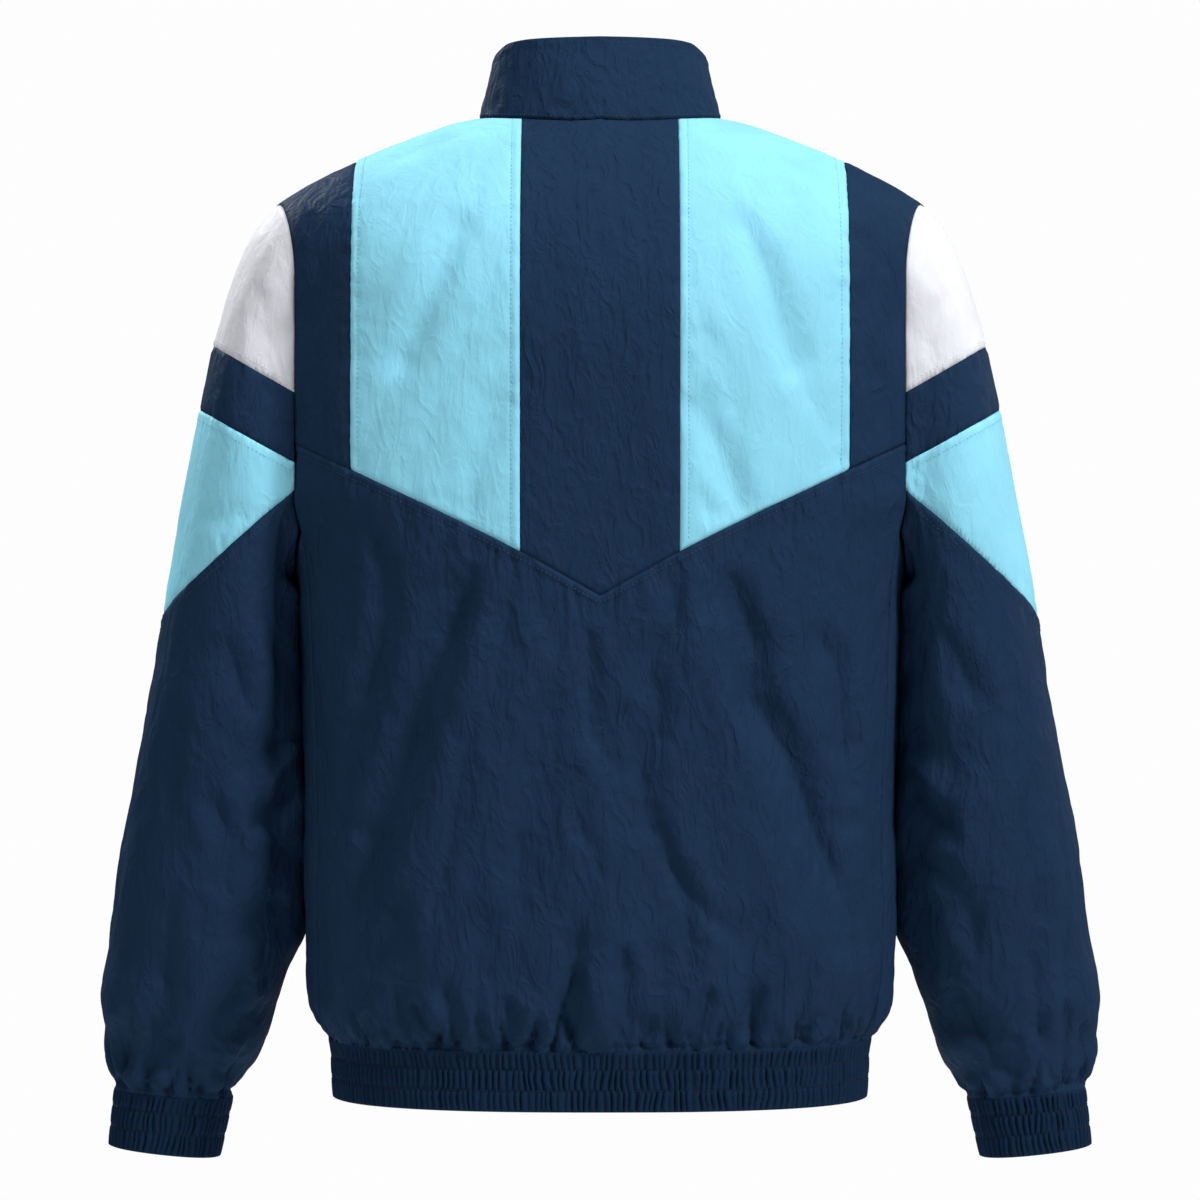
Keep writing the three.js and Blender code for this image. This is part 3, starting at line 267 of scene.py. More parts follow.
# Half the outline of a tooth, as x and distance along the zip
TOOTH_SIDE = [(-2.9, -0.6), (-1.0, -0.42), (0.1, -0.7), (0.9, -0.45)]
TOOTH = TOOTH_SIDE + [(x, -along) for x, along in reversed(TOOTH_SIDE)]
TEETH_IN_STRIP = 8
STRIP_START = 1.2
STRIP_INSET = 0.3
STRIP_THICKNESS = 0.35

# Sewing. A column is about 17 mm wide on the stripes and 21 mm on the fronts, and a row is 33 mm tall
# below the V seam.
TOPSTITCH = 6.0
CAP_STITCH = 5.0
STITCH_COLUMNS = 0.35
ZIP_STITCH_COLUMNS = 0.3
CHEVRON_STITCH_ROWS = 0.2
STITCH_PITCH = 3.4
STITCH_LENGTH = 2.4
THREAD = 0.5
BAND_STITCH_PITCH = 4.4
BAND_STITCH_LENGTH = 2.6
GROOVE = 0.8
GROOVE_WIDTH = 1.3
LEDGE = 0.45
PULL = 0.55
PULL_WIDTH = 1.1

# Puckers beside a seam: distance off it, reach, height, seed, and the size of one along x, y and z
PUCKERS = {
    "edge": (0, 9, 0.45, 31, (8, 14, 8)),
    "stripe": (4, 9, 1.0, 41, (26, 26, 5.5)),
    "chevron": (8, 15, 2.2, 51, (6, 30, 50)),
    "side": (0, 10, 0.8, 61, (26, 26, 7)),
    "armhole": (0, 10, 0.5, 71, (8, 14, 8)),
    "sleeve": (4, 11, 1.0, 81, (7, 7, 12)),
    "collar_top": (TOPSTITCH, 5, 0.35, 95, (6, 6, 14)),
    "collar_foot": (0, 8, 0.6, 97, (6, 6, 14)),
}
# Relief fades towards sewn edges: how far off it is whole again, and the share left at the edge
EDGE_FADES = dict(armhole=14, neck=8, shoulder=4)
EDGE_SHARE = 0.12
SEAM_FADE = 9
SEAM_SHARE = 0.35
BAND_FADE = 4
BAND_SHARE = 0.15
ZIP_FADE_COLUMNS = (0.05, 0.6)
TOP_FADE_ROWS = (-0.01, 0.12)
OPEN_SHARE = 0.1

# Wrinkles all over: the size of one along x, y and z, and its height, on points shifted by noise of a size
# and amount
BROAD_SHIFT = (70.0, 22.0)
SMALL_SHIFT = (30.0, 9.0)
BROAD_SIZE = (44.0, 44.0, 95.0)
BROAD_RISE = 1.3
CRISP_SIZE = (34, 34, 78)
CRISP_RISE = 1.0
SMALL_SIZE = (15, 15, 27)
SMALL_RISE = 0.5
CRINKLE_MIDDLE = 0.45

# Gathers: least height and what is drawn on top, width, spread with the height, and the puff under them
GATHER_TALL = 24
GATHER_TALLER = 22
GATHER_WIDTH = 3.0
GATHER_WIDER = 1.3
GATHER_SPREAD = 45
GATHER_PUFF = 0.4

# Looks
NYLON_IOR = 1.08
NYLON_SHEEN = (0.55, 0.75, 1, 1)
MOULDED_SPECULAR = 0.25
NAVY_THREAD = (0.020, 0.048, 0.1)
LIGHT_THREAD = (0.16, 0.46, 0.6)
WHITE_THREAD = (0.7, 0.71, 0.76)
BAND_THREAD = (0.003, 0.008, 0.02)
WHITE_DIMMED = 0.86
# Pieces of shell cloth that aren't navy
PIECE_COLOURS = dict(back_stripe="light", sleeve_cap="white", sleeve_wedge="light")

# Steps of the mesh in a column or a row of the tables, and the places of its breaks beside a seam
BACK_STEPS = 9
FRONT_STEPS = 6
SLEEVE_STEPS = 8
ROW_STEPS = 12
SEAM_BREAKS = [0, 0.06, 0.13, 0.21, 0.3, 0.37, 0.45, 0.56, 0.67, 0.78, 0.89]

# Across a crease, in widths of it: a soft trough with a finer line in it, between two shoulders
TROUGH_WIDTHS = 2.0
SHOULDER_AT = 3.5
FINE_LINE = 0.55
CREASE_GAIN = 1.35
STEEP_SIDE = 0.45
GENTLE_SIDE = 1.7
# How much lower all creases are above the V seam and on the upper sleeves
YOKE_CALM = 0.62
SLEEVE_CALM = 0.55
SLEEVE_CALM_HEIGHTS = (-420, -340)
# How far a crease reaches, in widths of it, and the parts of its length over which it starts and ends
CREASE_REACH = 9
CREASE_START = 0.18
CREASE_END = 0.3
# Heights by which a crease over the hem band bends and ends
HEM_CREASE_BEND = -657
HEM_CREASE_FOOT = -659

# Creases, read against the picture on the back: facing, width, depth, and points in x and z.
# A valley has a positive depth, and a ridge a negative one.
BODY_CREASES = [
    (1, 5.5, 3.2, [(85, -323), (107, -379), (121, -420), (132, -457), (146, -499), (174, -588)]),
    (1, 4.5, 2.4, [(157, -300), (151, -356), (165, -420), (180, -482), (189, -516)]),
    (1, 4.5, 1.5, [(60, -328), (79, -426), (96, -454), (104, -499), (118, -574)]),
    (1, 4.0, 1.3, [(48, -510), (57, -532), (51, -582)]),
    (1, 4.5, 2.0, [(152, -560), (143, -577), (165, -613)]),
    (1, 5.5, 3.2, [
        (-85, -323), (-99, -356), (-108, -387), (-108, -415), (-133, -460), (-155, -518), (-180, -579),
    ]),
    (1, 4.5, 2.3, [(-149, -365), (-169, -393), (-175, -432), (-180, -487)]),
    (1, 4.0, 2.0, [(-46, -320), (-52, -362), (-35, -390), (-41, -432), (-27, -460), (-30, -487)]),
    (1, 4.0, 1.8, [(-30, -487), (-52, -543), (-63, -593), (-55, -624)]),
    (1, 3.0, 1.2, [(-44, -526), (-66, -556), (-94, -585)]),
    (1, 4.0, 1.8, [(7, -368), (9, -412), (4, -443), (-16, -473)]),
    (1, 3.5, 1.6, [(9, -485), (15, -504), (1, -532), (9, -560), (18, -593), (16, -627)]),
    (1, 3.5, 1.0, [(186, -434), (170, -438), (154, -430)]),
    (1, 3.5, 1.1, [(190, -512), (172, -507), (150, -519)]),
    (1, 3.5, 1.0, [(-188, -446), (-170, -452), (-158, -444)]),
    (1, 3.5, 1.0, [(-190, -500), (-176, -508), (-160, -500)]),
    (1, 4.5, 2.4, [(82, -56), (105, -94), (128, -154), (152, -206), (161, -220)]),
    (1, 4.0, 1.7, [(72, -115), (82, -145), (96, -157), (100, -182), (128, -238)]),
    (1, 4.0, 2.0, [(72, -215), (86, -248), (96, -264)]),
    (1, 4.0, 1.7, [(91, -14), (124, -24), (159, -40)]),
    (1, 4.0, 1.5, [(96, -33), (124, -49), (154, -61)]),
    (1, 4.5, 2.4, [(-94, -68), (-119, -122), (-126, -150), (-143, -196), (-166, -234)]),
    (1, 4.0, 1.7, [(-70, -157), (-82, -178), (-100, -234)]),
    (1, 4.0, 2.2, [(-70, -215), (-89, -257), (-97, -285)]),
    (1, 3.5, 1.5, [(-70, -269), (-80, -294)]),
    (1, 4.0, 1.3, [(-96, -20), (-128, -34), (-158, -52)]),
    (1, 4.0, 1.0, [(-40, -41), (0, -45), (38, -42)]),
    (1, 4.5, 1.0, [(-10, -150), (-12, -185), (-16, -222), (-8, -262)]),
    (1, 4.5, 0.9, [(24, -110), (30, -150), (22, -196)]),
    (1, 4.5, 1.0, [(30, -230), (22, -268), (26, -306)]),
    (1, 4.0, 1.8, [(205, -70), (201, -100), (196, -134)]),
    (1, 4.0, 1.8, [(178, -96), (206, -121)]),
    (1, 4.0, 1.2, [(188, -160), (200, -196), (194, -228)]),
    (1, 4.0, 1.8, [(-205, -74), (-202, -104), (-195, -140)]),
    (1, 4.0, 1.6, [(-180, -88), (-206, -116)]),
    (1, 4.0, 1.2, [(-186, -170), (-198, -204), (-190, -232)]),
    (-1, 5.0, 2.8, [(64, -66), (98, -118), (126, -172), (160, -232), (186, -262)]),
    (-1, 4.5, 2.0, [(96, -40), (128, -78), (158, -122), (190, -150)]),
    (-1, 4.5, 1.6, [(40, -130), (60, -196), (88, -250)]),
    (-1, 5.5, 3.0, [(52, -270), (74, -340), (88, -410), (112, -500), (124, -580)]),
    (-1, 4.5, 2.2, [(190, -300), (160, -352), (150, -420), (164, -500), (178, -570)]),
    (-1, 4.0, 1.6, [(36, -420), (52, -476), (46, -540), (58, -604)]),
    (-1, 5.0, 2.8, [(-60, -70), (-96, -124), (-132, -190), (-170, -246)]),
    (-1, 4.5, 2.0, [(-92, -44), (-130, -86), (-164, -138), (-196, -160)]),
    (-1, 4.5, 1.6, [(-42, -150), (-58, -212), (-90, -262)]),
    (-1, 5.5, 3.0, [(-48, -290), (-70, -352), (-96, -430), (-116, -520), (-136, -600)]),
    (-1, 4.5, 2.2, [(-188, -310), (-162, -370), (-154, -440), (-172, -520), (-184, -580)]),
    (-1, 4.0, 1.6, [(-38, -440), (-50, -500), (-40, -560), (-52, -620)]),
    (-1, 3.5, 1.2, [(84, -306), (120, -322), (156, -312)]),
    (-1, 3.5, 1.2, [(-90, -300), (-124, -318), (-162, -306)]),
]
HEM_CREASES = [
    (1, 135, -630, 115, 3.0, 2.4),
    (1, 110, -613, 101, 3.0, 2.0),
    (1, 65, -624, 62, 3.0, 2.0),
    (1, 26, -638, 23, 2.6, 1.8),
    (1, 16, -602, 18, 3.2, 2.4),
    (1, -16, -590, -21, 3.6, 3.0),
    (1, -34, -638, -35, 2.6, 1.8),
    (1, -80, -618, -63, 3.2, 2.2),
    (1, -116, -618, -88, 3.4, 2.4),
    (1, -147, -602, -141, 3.2, 2.2),
    (1, -158, -638, -144, 2.6, 1.8),
    (1, 165, -638, 160, 2.6, 1.8),
    (1, 42, -640, 44, 2.4, 1.6),
    (1, 84, -636, 80, 2.4, 1.6),
    (-1, 150, -628, 138, 3.2, 2.2),
    (-1, 118, -604, 108, 3.2, 2.2),
    (-1, 86, -630, 80, 3.0, 2.0),
    (-1, 52, -596, 50, 3.2, 2.4),
    (-1, 26, -632, 25, 2.6, 1.6),
    (-1, -28, -626, -26, 2.8, 1.8),
    (-1, -60, -600, -52, 3.2, 2.4),
    (-1, -90, -632, -84, 3.0, 2.0),
    (-1, -126, -610, -112, 3.2, 2.2),
    (-1, -158, -632, -146, 2.8, 1.8),
]
# Creases of the sleeves: side (1 is the wearer's left), facing, width, depth, and points in x and z with x
# counted from the middle outwards
SLEEVE_CREASES = [
    (1, 1, 4.5, 2.0, [(268, -372), (256, -404), (247, -434)]),
    (1, 1, 5.0, -2.6, [(219, -450), (230, -470), (242, -494)]),
    (1, 1, 4.5, 2.8, [(219, -478), (230, -492), (252, -514)]),
    (1, 1, 4.5, 2.4, [(276, -486), (268, -505), (263, -524), (268, -548), (263, -567)]),
    (1, 1, 4.5, 2.2, [(308, -557), (311, -600), (315, -647), (325, -690)]),
    (1, 1, 4.0, 3.0, [(320, -650), (324, -672), (328, -697)]),
    (1, 1, 3.5, 2.4, [(304, -658), (309, -678), (313, -697)]),
    (1, 1, 3.5, 2.2, [(292, -672), (297, -688), (301, -704)]),
    (1, 1, 4.5, 3.0, [(252, -618), (262, -634), (271, -645), (283, -667), (291, -684)]),
    (1, 1, 3.5, 2.0, [(246, -640), (262, -660), (276, -684), (284, -700)]),
    (1, 1, 3.5, 2.0, [(340, -640), (342, -668), (343, -694)]),
    (1, 1, 3.5, 1.8, [(352, -650), (351, -672), (349, -695)]),
    (1, 1, 3.5, 1.4, [(234, -66), (236, -80), (246, -104)]),
    (1, 1, 3.5, 1.5, [(246, -122), (240, -146), (234, -170)]),
    (1, 1, 4.0, 1.6, [(226, -560), (244, -572), (262, -596)]),
    (1, 1, 4.0, 1.5, [(300, -420), (306, -460), (304, -505)]),
    (1, 1, 3.5, 1.3, [(236, -290), (262, -286), (290, -292)]),
    (-1, 1, 4.5, 2.2, [(244, -366), (256, -392), (272, -428)]),
    (-1, 1, 5.0, -2.4, [(219, -456), (234, -474), (250, -496)]),
    (-1, 1, 4.5, 2.8, [(219, -484), (236, -500), (258, -524)]),
    (-1, 1, 4.5, 2.2, [(222, -535), (250, -548), (266, -576), (270, -606)]),
    (-1, 1, 4.5, 2.0, [(302, -500), (310, -548), (308, -600), (316, -650)]),
    (-1, 1, 4.0, 2.8, [(316, -646), (320, -670), (325, -697)]),
    (-1, 1, 3.5, 2.4, [(300, -660), (305, -680), (310, -700)]),
    (-1, 1, 3.5, 2.0, [(288, -668), (293, -686), (298, -704)]),
    (-1, 1, 4.5, 3.0, [(250, -624), (264, -644), (276, -664), (287, -690)]),
    (-1, 1, 3.5, 2.0, [(337, -636), (338, -664), (338, -694)]),
    (-1, 1, 3.5, 1.8, [(350, -652), (349, -674), (348, -696)]),
    (-1, 1, 3.5, 1.4, [(232, -72), (238, -90), (250, -112)]),
    (-1, 1, 3.5, 1.5, [(248, -128), (238, -156), (232, -180)]),
    (-1, 1, 4.0, 1.4, [(296, -400), (300, -440), (294, -480)]),
    (1, -1, 4.5, 2.4, [(222, -440), (248, -450), (276, -474)]),
    (1, -1, 5.0, 2.8, [(222, -476), (252, -486), (286, -478)]),
    (1, -1, 4.5, 2.4, [(224, -512), (256, -526), (290, -520)]),
    (1, -1, 4.5, 2.0, [(250, -330), (262, -366), (258, -410)]),
    (1, -1, 4.5, 2.2, [(300, -560), (306, -604), (316, -650), (322, -694)]),
    (1, -1, 4.0, 2.6, [(262, -632), (276, -660), (290, -690)]),
    (1, -1, 3.5, 2.2, [(300, -664), (304, -682), (309, -700)]),
    (1, -1, 3.5, 2.0, [(340, -642), (341, -670), (342, -694)]),
    (1, -1, 3.5, 1.5, [(250, -120), (240, -150), (236, -184)]),
    (-1, -1, 4.5, 2.4, [(222, -452), (250, -462), (280, -486)]),
    (-1, -1, 5.0, 2.8, [(222, -490), (254, -500), (288, -490)]),
    (-1, -1, 4.5, 2.2, [(224, -530), (258, -540), (292, -532)]),
    (-1, -1, 4.5, 2.0, [(246, -340), (260, -380), (254, -424)]),
    (-1, -1, 4.5, 2.2, [(304, -548), (308, -596), (314, -646), (324, -692)]),
    (-1, -1, 4.0, 2.6, [(260, -640), (274, -664), (288, -692)]),
    (-1, -1, 3.5, 2.2, [(302, -660), (306, -680), (312, -700)]),
    (-1, -1, 3.5, 2.0, [(338, -640), (340, -668), (340, -692)]),
    (-1, -1, 3.5, 1.5, [(248, -126), (238, -158), (234, -190)]),
]


def clamp01(value):
    return np.clip(value, 0.0, 1.0)


def smoothstep(value, low, high):
    part = clamp01((value - low) / (high - low))
    return part * part * (3 - 2 * part)


def lerp(a, b, part):
    return a + (b - a) * part


# Distance travelled along a line at each of its points
def travel_along(line):
    return np.concatenate([[0], np.cumsum(np.linalg.norm(np.diff(line, axis=0), axis=1))])


# Reads a table at values of its key, on a smooth curve that never overshoots a row.
def read_table(keys, values, at):
    keys = np.asarray(keys, float)
    values = np.asarray(values, float)
    slopes = np.diff(values) / np.diff(keys)
    tangents = np.concatenate([slopes[:1], np.zeros(len(keys) - 2), slopes[-1:]])
    before, after = slopes[:-1], slopes[1:]
    same = before * after > 0
    tangents[1:-1] = np.where(same, 2 * before * after / np.where(same, before + after, 1), 0)
    at = np.asarray(at, float)
    index = np.searchsorted(keys[1:-1], at, side="left")
    span = keys[index + 1] - keys[index]
    part = clamp01((at - keys[index]) / span)
    rise = part * part * (3 - 2 * part)
    leave = part * (1 - part) ** 2 * span * tangents[index]
    arrive = part * part * (part - 1) * span * tangents[index + 1]
    return lerp(values[index], values[index + 1], rise) + leave + arrive


# Body surface

def ring_depth_at(x, z):
    across = np.minimum(x / read_table(RING_Z, RING_WIDTH, z), 1)
    return read_table(RING_Z, RING_DEPTH, z) * (1 - across**RING_POWER_X) ** (1 / RING_POWER_Y)


def shoulder_drop(x):
    return DROP_AT_NECK - (DROP_AT_NECK - DROP_AT_SHOULDER) * (x / ARMHOLE_X) ** DROP_POWER


def neck_angle(x):
    return math.asin(x / NECK_HALF_WIDTH)


# x at the chest for real columns: straight runs on the back and front, by angle round the side
def low_of(column):
    edge = math.degrees(math.asin((ARMHOLE_X / CHEST_HALF_WIDTH) ** (RING_POWER_X / 2)))
    columns = [0, STRIPE_START, STRIPE_END, ARMHOLE_BACK, ARMHOLE_FRONT, ZIP_COLUMN]
    flat = np.interp(column, columns, [0, STRIPE_INNER, STRIPE_OUTER, ARMHOLE_X, ARMHOLE_X, ZIP_EDGE])
    angles = np.interp(column, range(ARMHOLE_BACK, ARMHOLE_FRONT + 1), [edge, *SIDE_ANGLES, 180 - edge])
    side = CHEST_HALF_WIDTH * np.sin(np.radians(angles)) ** (2 / RING_POWER_X)
    on_side = (column > ARMHOLE_BACK) & (column < ARMHOLE_FRONT)
    return np.where(on_side, side, flat)


# x at the neck or shoulder for real columns
def top_of(column):
    columns = [STRIPE_START, NECK_COLUMN, FRONT_NECK_COLUMN, ZIP_COLUMN]
    angles = [neck_angle(x) for x in (STRIPE_INNER, NECK_HALF_WIDTH, NECK_HALF_WIDTH, ZIP_EDGE)]
    neck = NECK_HALF_WIDTH * np.sin(np.interp(column, columns, angles))
    stops = [0, STRIPE_START, NECK_COLUMN, STRIPE_END, ARMHOLE_BACK, ARMHOLE_FRONT, 20, FRONT_NECK_COLUMN]
    tops = [0, STRIPE_INNER, NECK_HALF_WIDTH, STRIPE_OUTER, SHOULDER_TIP]
    tops += tops[:1:-1]
    straight = np.interp(column, stops, tops)
    on_neck = ((column > STRIPE_START) & (column < NECK_COLUMN)) | (column > FRONT_NECK_COLUMN)
    return np.where(on_neck, neck, straight)


def yoke_point(column, low, facing, part):
    top = top_of(column)
    fan = clamp01(1 - np.sin(part * math.pi / 2)) ** FAN_POWER
    x = low + (top - low) * fan
    chest = lerp(ROUND_CHEST, ROUND_BACK, np.minimum(low / ROUND_CHEST_END, 1))
    power = np.where(facing > 0, ROUND_BACK, chest)
    neck_depth = np.where(facing > 0, NECK_BACK, NECK_FRONT)
    neck_y = neck_depth * np.sqrt(np.maximum(0, 1 - (top / NECK_HALF_WIDTH) ** 2))
    start_depth = ring_depth_at(np.minimum(top, SHOULDER_TIP), RING_Z[-1])
    start = np.where(top < NECK_HALF_WIDTH, np.arcsin(clamp01(neck_y / start_depth) ** (power / 2)), 0)
    angle = lerp(start, math.pi / 2, part)
    depth = ring_depth_at(np.minimum(x, low + 1), RING_Z[-1])
    drop = shoulder_drop(np.minimum(x, ARMHOLE_X))
    near_neck = 1 - smoothstep(top, NECK_HALF_WIDTH - 4, NECK_HALF_WIDTH + 4)
    y = lerp(depth, start_depth, fan * near_neck) * clamp01(np.sin(angle)) ** (2 / power)
    z = read_table(RIDGE_X, RIDGE_Z, x) - drop * (1 - clamp01(np.cos(angle)) ** (2 / power))
    return x, facing * y, z


# Points at real columns and rows. A negative column is the wearer's right.
def body_surface(column, row):
    column, row = np.broadcast_arrays(np.asarray(column, float), np.asarray(row, float))
    side = np.where(column < 0, -1.0, 1.0)
    column = np.abs(column)
    low = low_of(column)
    facing = np.where(column <= UNDERARM, 1.0, -1.0)
    yoke_x, yoke_y, yoke_z = yoke_point(column, low, facing, clamp01(row / YOKE_ROWS))
    on_back = column < ARMHOLE_BACK
    seam = np.where(on_back, read_table(CHEVRON_X, CHEVRON_Z, np.minimum(low, ARMHOLE_X)), CHEVRON_SIDE)
    full = read_table(RIDGE_X, RIDGE_Z, low) - shoulder_drop(np.minimum(low, ARMHOLE_X))
    above = lerp(full, seam, clamp01((row - YOKE_ROWS) / (CHEVRON_ROW - YOKE_ROWS)))
    level = np.interp(row, range(CHEVRON_ROW, LAST_ROW + 1), SIDE_ROWS)
    below = level + (seam - CHEVRON_SIDE) * ((level - HEM_TOP) / (CHEVRON_SIDE - HEM_TOP))
    z = np.where(row <= CHEVRON_ROW, above, below)
    x = low + (read_table(RING_Z, RING_WIDTH, z) - CHEST_HALF_WIDTH) * (low / CHEST_HALF_WIDTH) ** 3
    y = facing * ring_depth_at(x, z)
    in_yoke = row <= YOKE_ROWS
    x = np.where(in_yoke, yoke_x, x)
    y = np.where(in_yoke, yoke_y, y)
    z = np.where(in_yoke, yoke_z, z)
    sway = fold_depth(facing, side * x, z)
    sway = sway * smoothstep(np.abs(column - UNDERARM), 1, ARMHOLE_FRONT - UNDERARM)
    return np.stack([side * x, y - facing * sway, z], -1)


def fold_depth(facing, x, z):
    total = np.zeros_like(x)
    for fold_facing, from_x, from_z, to_x, to_z, width, depth in BODY_FOLDS:
        run = np.array([to_x - from_x, to_z - from_z], float)
        along = clamp01(((x - from_x) * run[0] + (z - from_z) * run[1]) / run.dot(run))
        away = np.hypot(x - from_x - along * run[0], z - from_z - along * run[1])
        total += np.where(facing == fold_facing, depth * np.exp(-((away / width) ** 2)), 0)
    front = np.where(facing < 0, smoothstep(np.abs(x), FOLD_FREE_FROM, FOLD_FREE_TO), 1)
    return total * front * smoothstep(z, HEM_TOP, HEM_TOP + FOLD_FADE_AT_HEM)


# Sleeve surface

ARMHOLE_STEPS = [(ARMHOLE_BACK, row) for row in range(CHEVRON_ROW + 2)]
ARMHOLE_STEPS += [(13, 10), (14, 11), (UNDERARM, 12), (16, 11), (17, 10)]
ARMHOLE_STEPS += [(ARMHOLE_FRONT, row) for row in range(CHEVRON_ROW + 1, -1, -1)]
ARMHOLE_LOW = ARMHOLE_STEPS.index((UNDERARM, 12))


def armhole_point(step):
    steps = np.arange(len(ARMHOLE_STEPS))
    columns, rows = np.array(ARMHOLE_STEPS, float).T
    return body_surface(np.interp(step, steps, columns), np.interp(step, steps, rows))


def section_at(at):
    stations = range(len(SLEEVE_OUT_X))
    read = lambda values: read_table(stations, values, at)[..., None]
    outer = np.concatenate([read(SLEEVE_OUT_X), read(SLEEVE_MIDDLE), read(SLEEVE_OUT_Z)], -1)
    inner = np.concatenate([read(SLEEVE_IN_X), read(SLEEVE_MIDDLE), read(SLEEVE_IN_Z)], -1)
    return section_between(outer, inner, read(SLEEVE_DEPTH))


def section_between(outer, inner, depth):
    centre = (outer + inner) / 2
    reach = outer - centre
    half = np.linalg.norm(reach, axis=-1, keepdims=True)
    along = reach / half
    away = np.stack([-along[..., 2], np.zeros_like(along[..., 0]), along[..., 0]], -1)
    away = np.where(away[..., :1] < 0, -away, away)
    return centre, along, away, half, depth


def signed_power(value, power):
    return np.sign(value) * np.abs(value) ** power


def sleeve_fold_depth(at, turn):
    total = np.zeros(np.broadcast(at, turn).shape)
    for station, middle, reach, slant, depth in SLEEVE_FOLDS:
        round_it = (turn - middle) / reach
        along = (at - station - slant * round_it) / SLEEVE_FOLD_WIDTH
        total += depth * np.exp(-(along**2) - round_it**2)
    return total * smoothstep(at, 0.5, 2) * (1 - smoothstep(at, 14.3, 15))


# Rows of points of the left sleeve, from the armhole to the cuff, each closed on itself
def sleeve_rows(stations, steps):
    whole = armhole_point(np.arange(len(ARMHOLE_STEPS)))
    lengths = travel_along(whole)
    half = lengths[ARMHOLE_LOW]
    second_half = 180 + 180 * (lengths - half) / (lengths[-1] - half)
    turns = np.where(lengths <= half, 180 * lengths / half, second_half)
    turn = np.interp(steps, np.arange(len(ARMHOLE_STEPS)), turns)
    loop = armhole_point(steps)
    centre, along, away, reach, depth = section_at(np.array(0.0))
    from_centre = loop - centre
    start_a = from_centre @ along / reach
    start_b = from_centre[:, 1] / depth
    start_off = from_centre @ away
    at = stations[:, None]
    round_at = smoothstep(at, 0, SLEEVE_ROUND_BY)
    a = signed_power(np.cos(np.radians(turn)), 2 / SLEEVE_POWER)
    b = signed_power(np.sin(np.radians(turn)), 2 / SLEEVE_POWER)
    centre, along, away, reach, depth = section_at(stations)
    inset = 1 - sleeve_fold_depth(at, turn) / depth
    mixed_a = (lerp(start_a, a, round_at) * inset)[..., None]
    mixed_b = lerp(start_b, b, round_at) * inset
    off = (start_off * (1 - round_at))[..., None]
    points = centre[:, None] + along[:, None] * mixed_a * reach[:, None] + away[:, None] * off
    points[..., 1] = centre[:, None, 1] + mixed_b * depth
    points[0] = loop
    return points


# Noise, the same on every run

def hashed(cells, seed):
    mixed = (cells[..., 0] * 73856093) ^ (cells[..., 1] * 19349663) ^ (cells[..., 2] * 83492791)
    mixed = (mixed ^ (seed * 2654435761)) & 0xFFFFFFFF
    mixed = ((mixed ^ (mixed >> 15)) * 2246822519) & 0xFFFFFFFF
    mixed = ((mixed ^ (mixed >> 13)) * 3266489917) & 0xFFFFFFFF
    return ((mixed ^ (mixed >> 16)) & 0xFFFFFFFF) / 0xFFFFFFFF * 2 - 1


# Smooth noise of about -1 to 1, at points given in cells
def noise(points, seed):
    base = np.floor(points).astype(np.int64)
    part = points - base
    ease = part**3 * (part * (part * 6 - 15) + 10)
    total = np.zeros(points.shape[:-1])
    for corner in itertools.product((0, 1), repeat=3):
        cell = base + corner
        offset = part - corner
        slope = sum(hashed(cell, seed * 3 + axis) * offset[..., axis] for axis in range(3))
        weight = np.prod(np.where(corner, ease, 1 - ease), axis=-1)
        total += weight * slope
    return total * 1.6


def warped(points, size, amount, seed):
    shift = [noise(points / size, seed + axis) for axis in range(3)]
    return points + amount * np.stack(shift, -1)


# Crisp lines between soft fields, as thin coated nylon creases: 0 on a line and up to 1 between lines
def crinkle(points, cell, seed):
    return np.minimum(np.abs(noise(points / np.array(cell, float), seed)) * 2.2, 1)


# Creases

def smooth_line(points, step=3.0):
    points = np.asarray(points, float)
    ends = np.concatenate([2 * points[:1] - points[1:2], points, 2 * points[-1:] - points[-2:-1]])
    line = []
    for i in range(1, len(ends) - 2):
        count = max(2, int(np.linalg.norm(ends[i + 1] - ends[i]) / step))
        part = np.arange(count)[:, None] / count
        p0, p1, p2, p3 = ends[i - 1 : i + 3]
        curve = 2 * p1 + (p2 - p0) * part
        curve = curve + (2 * p0 - 5 * p1 + 4 * p2 - p3) * part**2 + (3 * p1 - p0 - 3 * p2 + p3) * part**3
        line.append(curve / 2)
    return np.concatenate([*line, points[-1:]])


# Lifts a line given in x and z onto the side of the surface that faces the given way.
def lift_line(line, facing, points, normals):
    facing_it = normals[:, 1] * facing > 0.02
    seen = points[facing_it]
    lifted = []
    for x, z in line:
        nearest = np.argmin((seen[:, 0] - x) ** 2 + (seen[:, 2] - z) ** 2)
        lifted.append(seen[nearest])
    return np.array(lifted)


# For each point, how far off a line it is, on which side, and how far along as part of the line's length,
# and then that length
def place_by_line(here, normals, line):
    runs = np.diff(line, axis=0)
    lengths = np.linalg.norm(runs, axis=1)
    starts = np.concatenate([[0], np.cumsum(lengths)[:-1]])
    best = np.full(len(here), np.inf)
    side = np.zeros(len(here))
    travelled = np.zeros(len(here))
    for start, run, length, before in zip(line[:-1], runs, lengths, starts):
        if length < 1e-6:
            continue
        from_start = here - start
        along = clamp01(from_start @ run / length**2)
        off = from_start - along[:, None] * run
        distance = np.linalg.norm(off, axis=1)
        closer = distance < best
        best = np.where(closer, distance, best)
        turn = np.einsum("ij,ij->i", np.cross(off, run / length), normals)
        side = np.where(closer, np.sign(turn), side)
        travelled = np.where(closer, before + along * length, travelled)
    return best, side, travelled / lengths.sum(), lengths.sum()


